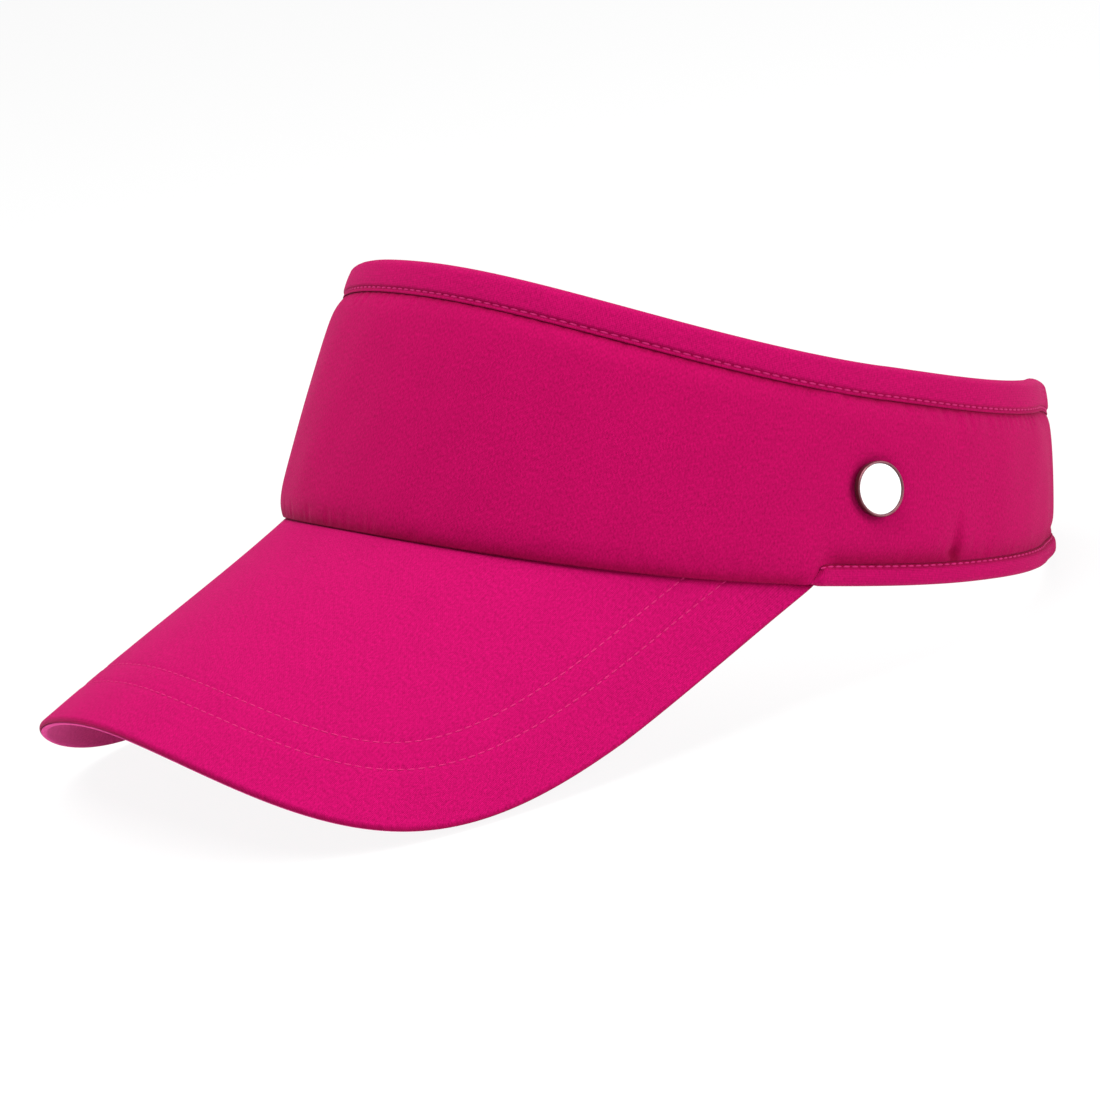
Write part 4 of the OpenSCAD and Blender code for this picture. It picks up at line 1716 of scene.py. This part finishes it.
    def cover(
        self, name: str, face: Array, thick: float, finish: ClothFinish, painted_shade: Array | None = None
    ) -> bpy.types.Object:
        """Make one cover from its outer face.

        Args:
            name: Name of the piece.
            face: Outer face in the band's own frame.
            thick: Thickness, inwards from an upper face and negative for a lower one.
            finish: Finish of the cloth.
            painted_shade: Painted crease shade of each point of the face.

        Returns:
            The new object.
        """
        inside = face - grid_normals(face) * thick
        worn = self.shape.band.worn
        face, inside = self.tucked(face), self.tucked(inside)
        painted_shade = None if painted_shade is None else np.pad(painted_shade, ((1, 1), (0, 0)), mode="edge")
        forward = (face @ self.shape.axes[0])[..., None]
        around = np.arcsin(np.clip(face[..., :1] / self.shape.arch_r, -1.0, 1.0)) * self.shape.arch_r
        chart = np.concatenate([around, forward], axis=-1)
        return add_piece(name, slab(worn(face), worn(inside), crease=painted_shade, chart=chart), finish)

    def dress(self) -> None:
        """Fix the pieces to the visor and hide the solids that they replace."""
        settle(self.upper, Body.VISOR, Slot.BRIM, "brim_top_cover")
        settle(self.lower, Body.VISOR, Slot.UNDER, "brim_under_cover")
        settle(self.stitches, Body.VISOR, Slot.BRIM)
        settle(self.board, Body.VISOR, Slot.BOARD, "brim_board")


@dataclass(frozen=True)
class Patch:
    """Piece of loop tape outside a strap, way 1, or of hook tape inside one, way -1."""

    name: str
    start: float
    end: float
    way: int
    pile: Pile
    inset: float = 0.9 * MM
    lift: float = 0.1 * MM
    sunk: float = 0.3 * MM
    thick: float = 0.5 * MM
    columns: int = 40
    rows: int = 20

    def build(self, shape: BandShape) -> list[bpy.types.Object]:
        """Make the tape and its pile.

        Args:
            shape: Shape of the band.

        Returns:
            The tape and the pile.
        """
        a = np.linspace(self.start, self.end, self.columns)[:, None]
        low, high = shape.hem_w + self.inset, shape.slant(a) - shape.bind_w - self.inset
        s = mix(low, high, np.linspace(0.0, 1.0, self.rows))
        wall = shape.outer(a, s) if self.way > 0 else shape.inner(a, s)
        face = wall + self.way * self.lift
        hidden = shape.place(a, s, face - self.way * self.sunk)
        shown = shape.place(a, s, face + self.way * self.thick)
        outer, inner = (shown, hidden)[::self.way]
        tape = add_piece(self.name, slab(outer, inner), self.pile.finish)
        return [tape, self.pile.grow(self.name + "_pile", shown[1:-1, 1:-1][::self.way])]


@dataclass
class Closure:
    """End of the left strap that peels open, with hook tape, and loop tape on the right strap."""

    shape: BandShape
    edges: Edges
    band: Band
    end: float = 202.0
    degree: float = 1.875 * MM
    fold_angle: float = 154.0
    fold_span: tuple[float, float] = (-1.6, 2.6)
    fold_in: float = 0.8 * MM
    corner: float = 12.0 * MM
    corner_points: int = 21
    end_points: int = 14
    end_leg: float = 6.8 * MM
    end_gap: float = 3.0 * MM
    edge_gap: float = 2.0 * MM
    sunk: float = 0.7 * MM
    sunk_from: float = 7.0 * MM
    sunk_run: float = 1.5 * MM
    columns: int = 170
    tapes: tuple[Patch, Patch] = (
        Patch("loop_tape", BandShape.start, -158.5, 1, TAPE_LOOPS),
        Patch("hook_tape", 172.0, 194.8, -1, TAPE_HOOKS),
    )
    cloth: bpy.types.Object | None = None
    binding: bpy.types.Object | None = None
    stitches: bpy.types.Object | None = None
    patches: list[bpy.types.Object] = field(default_factory=list)

    def strap(self) -> MeshData:
        """Return the strap end's cloth, outside and lining in one form."""
        shape = self.shape
        a = np.linspace(shape.split, self.end - self.end_gap / self.degree, self.columns)[:, None]
        s, off, painted_shade = self.band.faces(a)
        e = (self.end - a) * self.degree
        inset = np.clip(self.corner - e, 0.0, self.corner)
        cut = self.corner - np.sqrt(np.maximum(self.corner**2 - inset**2, 0.0))
        low = np.maximum(s[:, :1], cut - shape.hem_drop(a) + self.edge_gap)
        high = np.minimum(s[:, -1:], shape.slant(a) - cut - self.edge_gap)
        s = np.clip(s, low, high)
        under = self.sunk * smooth((self.sunk_from - e) / self.sunk_run)
        front = shape.place(a, s, off - under)
        back = shape.place(a, s, shape.inner(a, s))
        return slab(front, back, (0, 1), painted_shade)

    def stations(self) -> Array:
        """Return stations along the top, round the end and back along the lower edge."""
        c, edges = self.corner, self.edges
        a = np.linspace(self.shape.split, self.end - c / self.degree, self.columns)
        turn = np.linspace(0.0, math.pi / 2, self.corner_points)[1:-1]
        sin, cos, share = np.sin(turn), np.cos(turn), np.sin(turn) ** 2
        rim = self.end - c * (1 - sin) / self.degree
        first, last = edges.top_stations(rim), edges.low_stations(rim)
        at_end = {Station.LEG: self.end_leg, Station.PUFF: edges.puff, Station.SEWN: edges.sewn}
        for corner, way in ((first, -1.0), (last, 1.0)):
            corner[:, Station.TURN] = -sin / self.degree
            corner[:, Station.HEIGHT] += way * c * (1 - cos)
            corner[:, Station.RISE] = way * cos
            for column, value in at_end.items():
                corner[:, column] = mix(corner[:, column], value, share)
        flat = np.linspace(first[-1], last[-1], self.end_points)[1:-1]
        flat[:, Station.ANGLE] = self.end
        flat[:, Station.TURN] = -1 / self.degree
        flat[:, Station.RISE] = 0.0
        top, low = edges.top_stations(a), edges.low_stations(a[::-1])
        return np.concatenate([top, first, flat, last[::-1], low])

    def build(self) -> None:
        """Make the strap end, its binding and both patches."""
        self.cloth = add_piece("strap_end_cloth", self.strap(), SHELL_CLOTH, LINING_CLOTH)
        tape, stations = Tape(self.shape), self.stations()
        self.binding = add_piece("strap_end_binding", tape.data(stations), TAPE_CLOTH)
        self.stitches = Thread().sew("strap_end_stitches", [tape.sewing(stations)])
        for patch in self.tapes:
            self.patches += patch.build(self.shape)

    def dress(self) -> None:
        """Bake the strap end's pieces where they are, hide the solids that they replace and fix the
        patches.
        """
        shape = self.shape
        at = self.fold_angle + np.array(self.fold_span)
        middle = 0 * at + shape.slant(np.array(self.fold_angle)) / 2
        start, end = shape.place(at, middle, shape.outer(at, middle) - self.fold_in)
        for piece, slot, nodes in (
            (self.cloth, Slot.SHELL, ("tab_shell", "tab_lining")),
            (self.binding, Slot.BINDING, ("tab_binding",)),
            (self.stitches, Slot.BINDING, ()),
        ):
            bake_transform(piece)
            if nodes:
                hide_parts(*nodes)
        loop, loop_pile, hook, hook_pile = self.patches
        settle(loop, Body.VISOR, Slot.LOOP, "loop_patch")
        settle(loop_pile, Body.VISOR, Slot.LOOP)
        settle(hook, Body.TAB, Slot.HOOK, "hook_patch")
        settle(hook_pile, Body.TAB, Slot.HOOK)


@dataclass
class Badge:
    """Round badge over the left temple: dark dish, bare white face, rivet and washer."""

    shape: BandShape
    radius: float = 6.95 * MM
    height: float = 1.9 * MM
    edge: float = 0.55 * MM
    bevel: float = 0.35 * MM
    foot: float = 0.1 * MM
    lip: float = 0.2 * MM
    turned: float = 4.0
    floor: float = 0.6 * MM
    hub: float = 0.02 * MM
    face_t: float = 0.9 * MM
    face_gap: float = 0.05 * MM
    face_edge: float = 0.1 * MM
    face_crown: float = 0.12 * MM
    crown_span: tuple[float, float] = (0.03, 0.997)
    crown_points: int = 10
    bend_points: int = 6
    steps: int = 96
    rim: bpy.types.Object | None = None
    face: bpy.types.Object | None = None

    def place(self) -> Matrix:
        """Return the badge's place on the band, from the middle of its solid rim."""
        low, high = (np.array(corner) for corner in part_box("badge_rim"))
        shape = self.shape
        a, s, t = shape.badge_angle, shape.badge_up, shape.wall_t
        half_degree, half_step = 0.5, 0.5 * MM
        around = shape.place(a + half_degree, s, t) - shape.place(a - half_degree, s, t)
        upward = shape.place(a, s + half_step, t) - shape.place(a, s - half_step, t)
        out = unit(np.cross(around, upward))
        across = unit(around)
        axes = Matrix((across, np.cross(out, across), out)).transposed().to_4x4()
        centre = Matrix.Translation(Vector((low + high) / 2 - out * self.height / 2))
        return centre @ axes @ Matrix.Rotation(math.radians(-self.turned), 4, "Y")

    def bend(self, r: float, h: float, across: float) -> list[tuple[float, float]]:
        """Return a quarter round from the top of a wall, at height h, to its side.

        Args:
            r: Radius at the top of the bend.
            h: Height of the top.
            across: Radius of the bend, negative where it turns inwards.

        Returns:
            Points of (radius, height).
        """
        turn = np.linspace(0.0, math.pi / 2, self.bend_points)
        return [(r + across * math.sin(t), h - abs(across) * (1 - math.cos(t))) for t in turn]

    def build(self) -> None:
        """Make the dish and the face."""
        r, h, e, f, b, hub = self.radius, self.height, self.edge, self.floor, self.bevel, self.hub
        outer, inner = self.bend(r - b, h, b), self.bend(r - e + self.lip, h, -self.lip)
        foot = [(hub, 0.0), (r - b, 0.0), (r - self.foot, self.foot), (r, b)]
        dish = [*foot, *outer[::-1], *inner, (r - e, f), (hub, f)]
        self.rim = add_piece("badge_dish", tube(lathe(dish, self.steps), closed=True), DARK_METAL)
        w, top = r - e - self.face_gap, f + self.face_t
        ways = np.linspace(*self.crown_span, self.crown_points)
        crown = [(w * (1 - k), top + self.face_crown * (1 - (1 - k) ** 2)) for k in ways]
        disc = [(hub, f), (w, f), (w, top - self.face_edge), *crown]
        self.face = add_piece("badge_enamel", tube(lathe(disc, self.steps), closed=True), ENAMEL)
        place = self.place()
        for piece in (self.rim, self.face):
            piece.data.transform(place)

    def dress(self) -> None:
        """Fix the badge and finish its rivet and washer."""
        settle(self.rim, Body.VISOR, Slot.METAL, "badge_rim")
        settle(self.face, Body.VISOR, Slot.FACE, "badge_face")
        for node in ("badge_rivet", "badge_backing"):
            mesh = bpy.data.objects[node].data
            mesh.materials.clear()
            mesh.materials.append(STEEL.material())


@dataclass(frozen=True)
class Lamp:
    """A soft square lamp that looks at the visor."""

    name: str
    at: Point
    power: float
    size: float = 1.2
    aim: Point = (0.0, -0.03, 0.02)

    def build(self) -> None:
        """Add the lamp to the scene."""
        light = bpy.data.lights.new(self.name, "AREA")
        light.size, light.energy = self.size, self.power
        lamp = bpy.data.objects.new(self.name, light)
        bpy.context.scene.collection.objects.link(lamp)
        lamp.location = self.at
        lamp.rotation_euler = (Vector(self.aim) - Vector(self.at)).to_track_quat("-Z", "Y").to_euler()


@dataclass(frozen=True)
class Studio:
    """Floor, lights and the camera, whose place was found from the photograph's outline."""

    band: BandShape
    azimuth: float = 53.546
    elevation: float = 3.376
    roll: float = -3.321
    distance: float = 1100.0 * MM
    aim: Point = (0.0, -20.0 * MM, 25.0 * MM)
    aside: tuple[float, float] = (-15.95 * MM, -27.85 * MM)
    lens: float = 138.4
    sensor: float = 36.0
    clip: tuple[float, float] = (0.01, 20.0)
    sky: float = 0.42
    floor_half: float = 4.0
    floor_grey: float = 0.9
    floor_glow: float = 0.9
    lamps: tuple[Lamp, Lamp] = (Lamp("key", (0.0, -0.4, 1.4), 33.0), Lamp("side", (1.4, 0.9, 0.6), 25.0))

    def build(self) -> None:
        """Make the floor, the lights and the camera."""
        self.floor()
        self.world()
        for lamp in self.lamps:
            lamp.build()
        self.camera()
        bpy.context.scene.view_settings.view_transform = "Standard"

    def seen(self, nodes: Nodes) -> bpy.types.NodeSocket:
        """Return 1 for rays that should meet plain white."""
        path = nodes.add("ShaderNodeLightPath")
        direct = nodes.math("ADD", path.outputs["Is Camera Ray"], path.outputs["Is Glossy Ray"])
        return nodes.math("MINIMUM", nodes.math("ADD", direct, path.outputs["Is Transmission Ray"]), 1.0)

    def world(self) -> None:
        """Light the scene evenly in front of a white background."""
        world = bpy.data.worlds.new("studio")
        bpy.context.scene.world = world
        world.use_nodes = True
        nodes = Nodes(world.node_tree)
        background = world.node_tree.nodes["Background"]
        background.inputs["Color"].default_value = (1.0, 1.0, 1.0, 1.0)
        strength = nodes.math("MULTIPLY_ADD", self.seen(nodes), 1.0 - self.sky, self.sky)
        nodes.wire(strength, background.inputs["Strength"])

    def floor(self) -> None:
        """Lay a plain pale floor under the visor that keeps a faint shadow."""
        low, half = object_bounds()[0][2], self.floor_half
        corners = [(-half, -half, low), (half, -half, low), (half, half, low), (-half, half, low)]
        mesh = bpy.data.meshes.new("floor")
        mesh.from_pydata(corners, [], [(0, 1, 2, 3)])
        material, nodes, shader = blank_material("studio_floor")
        grey = (self.floor_grey, self.floor_grey, self.floor_grey, 1.0)
        set_inputs(shader, {"Base Color": grey, "Roughness": 1.0, "Specular IOR Level": 0.0})
        glow = nodes.add("ShaderNodeEmission")
        blend = nodes.add("ShaderNodeMixShader")
        nodes.wire(nodes.math("MULTIPLY", self.seen(nodes), self.floor_glow), blend.inputs[0])
        nodes.wire(shader.outputs[0], blend.inputs[1])
        nodes.wire(glow.outputs[0], blend.inputs[2])
        nodes.wire(blend.outputs[0], material.node_tree.nodes["Material Output"].inputs[0])
        add_object("floor", mesh, material)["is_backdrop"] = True

    def camera(self) -> None:
        """Set the camera where the photograph was taken from."""
        turn, tilt, roll = (math.radians(x) for x in (self.azimuth, self.elevation, self.roll))
        back = np.array([math.sin(turn) * math.cos(tilt), -math.cos(turn) * math.cos(tilt), math.sin(tilt)])
        level = np.array([math.cos(turn), math.sin(turn), 0.0])
        above = np.cross(back, level)
        right = level * math.cos(roll) - above * math.sin(roll)
        up = level * math.sin(roll) + above * math.cos(roll)
        place = np.array(self.aim) + back * self.distance
        target = np.array(self.aim) + right * self.aside[0] + up * self.aside[1]
        view = unit(target - place)
        up = unit(up - view * (up @ view))
        right = np.cross(view, up)
        axes = [self.band.worn(axis) for axis in (right, up, -view)]
        lens = bpy.data.cameras.new("camera")
        lens.lens, lens.sensor_width = self.lens, self.sensor
        lens.clip_start, lens.clip_end = self.clip
        camera = bpy.data.objects.new("camera", lens)
        bpy.context.scene.collection.objects.link(camera)
        moved = Matrix.Translation(Vector(self.band.worn(place)))
        camera.matrix_world = moved @ Matrix(axes).transposed().to_4x4()
        bpy.context.scene.camera = camera


def main() -> None:
    """Build and dress every sub-assembly, then set the studio."""
    logging.basicConfig(level=logging.INFO, format="%(name)s %(message)s")
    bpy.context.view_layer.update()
    shape = BandShape()
    band, edges = Band(shape), Edges(shape)
    parts = [band, edges, Brim(BrimShape(shape)), Closure(shape, edges, band), Badge(shape)]
    for part in parts:
        part.build()
    Studio(shape).build()
    for part in parts:
        part.dress()


if __name__ == "__main__":
    main()
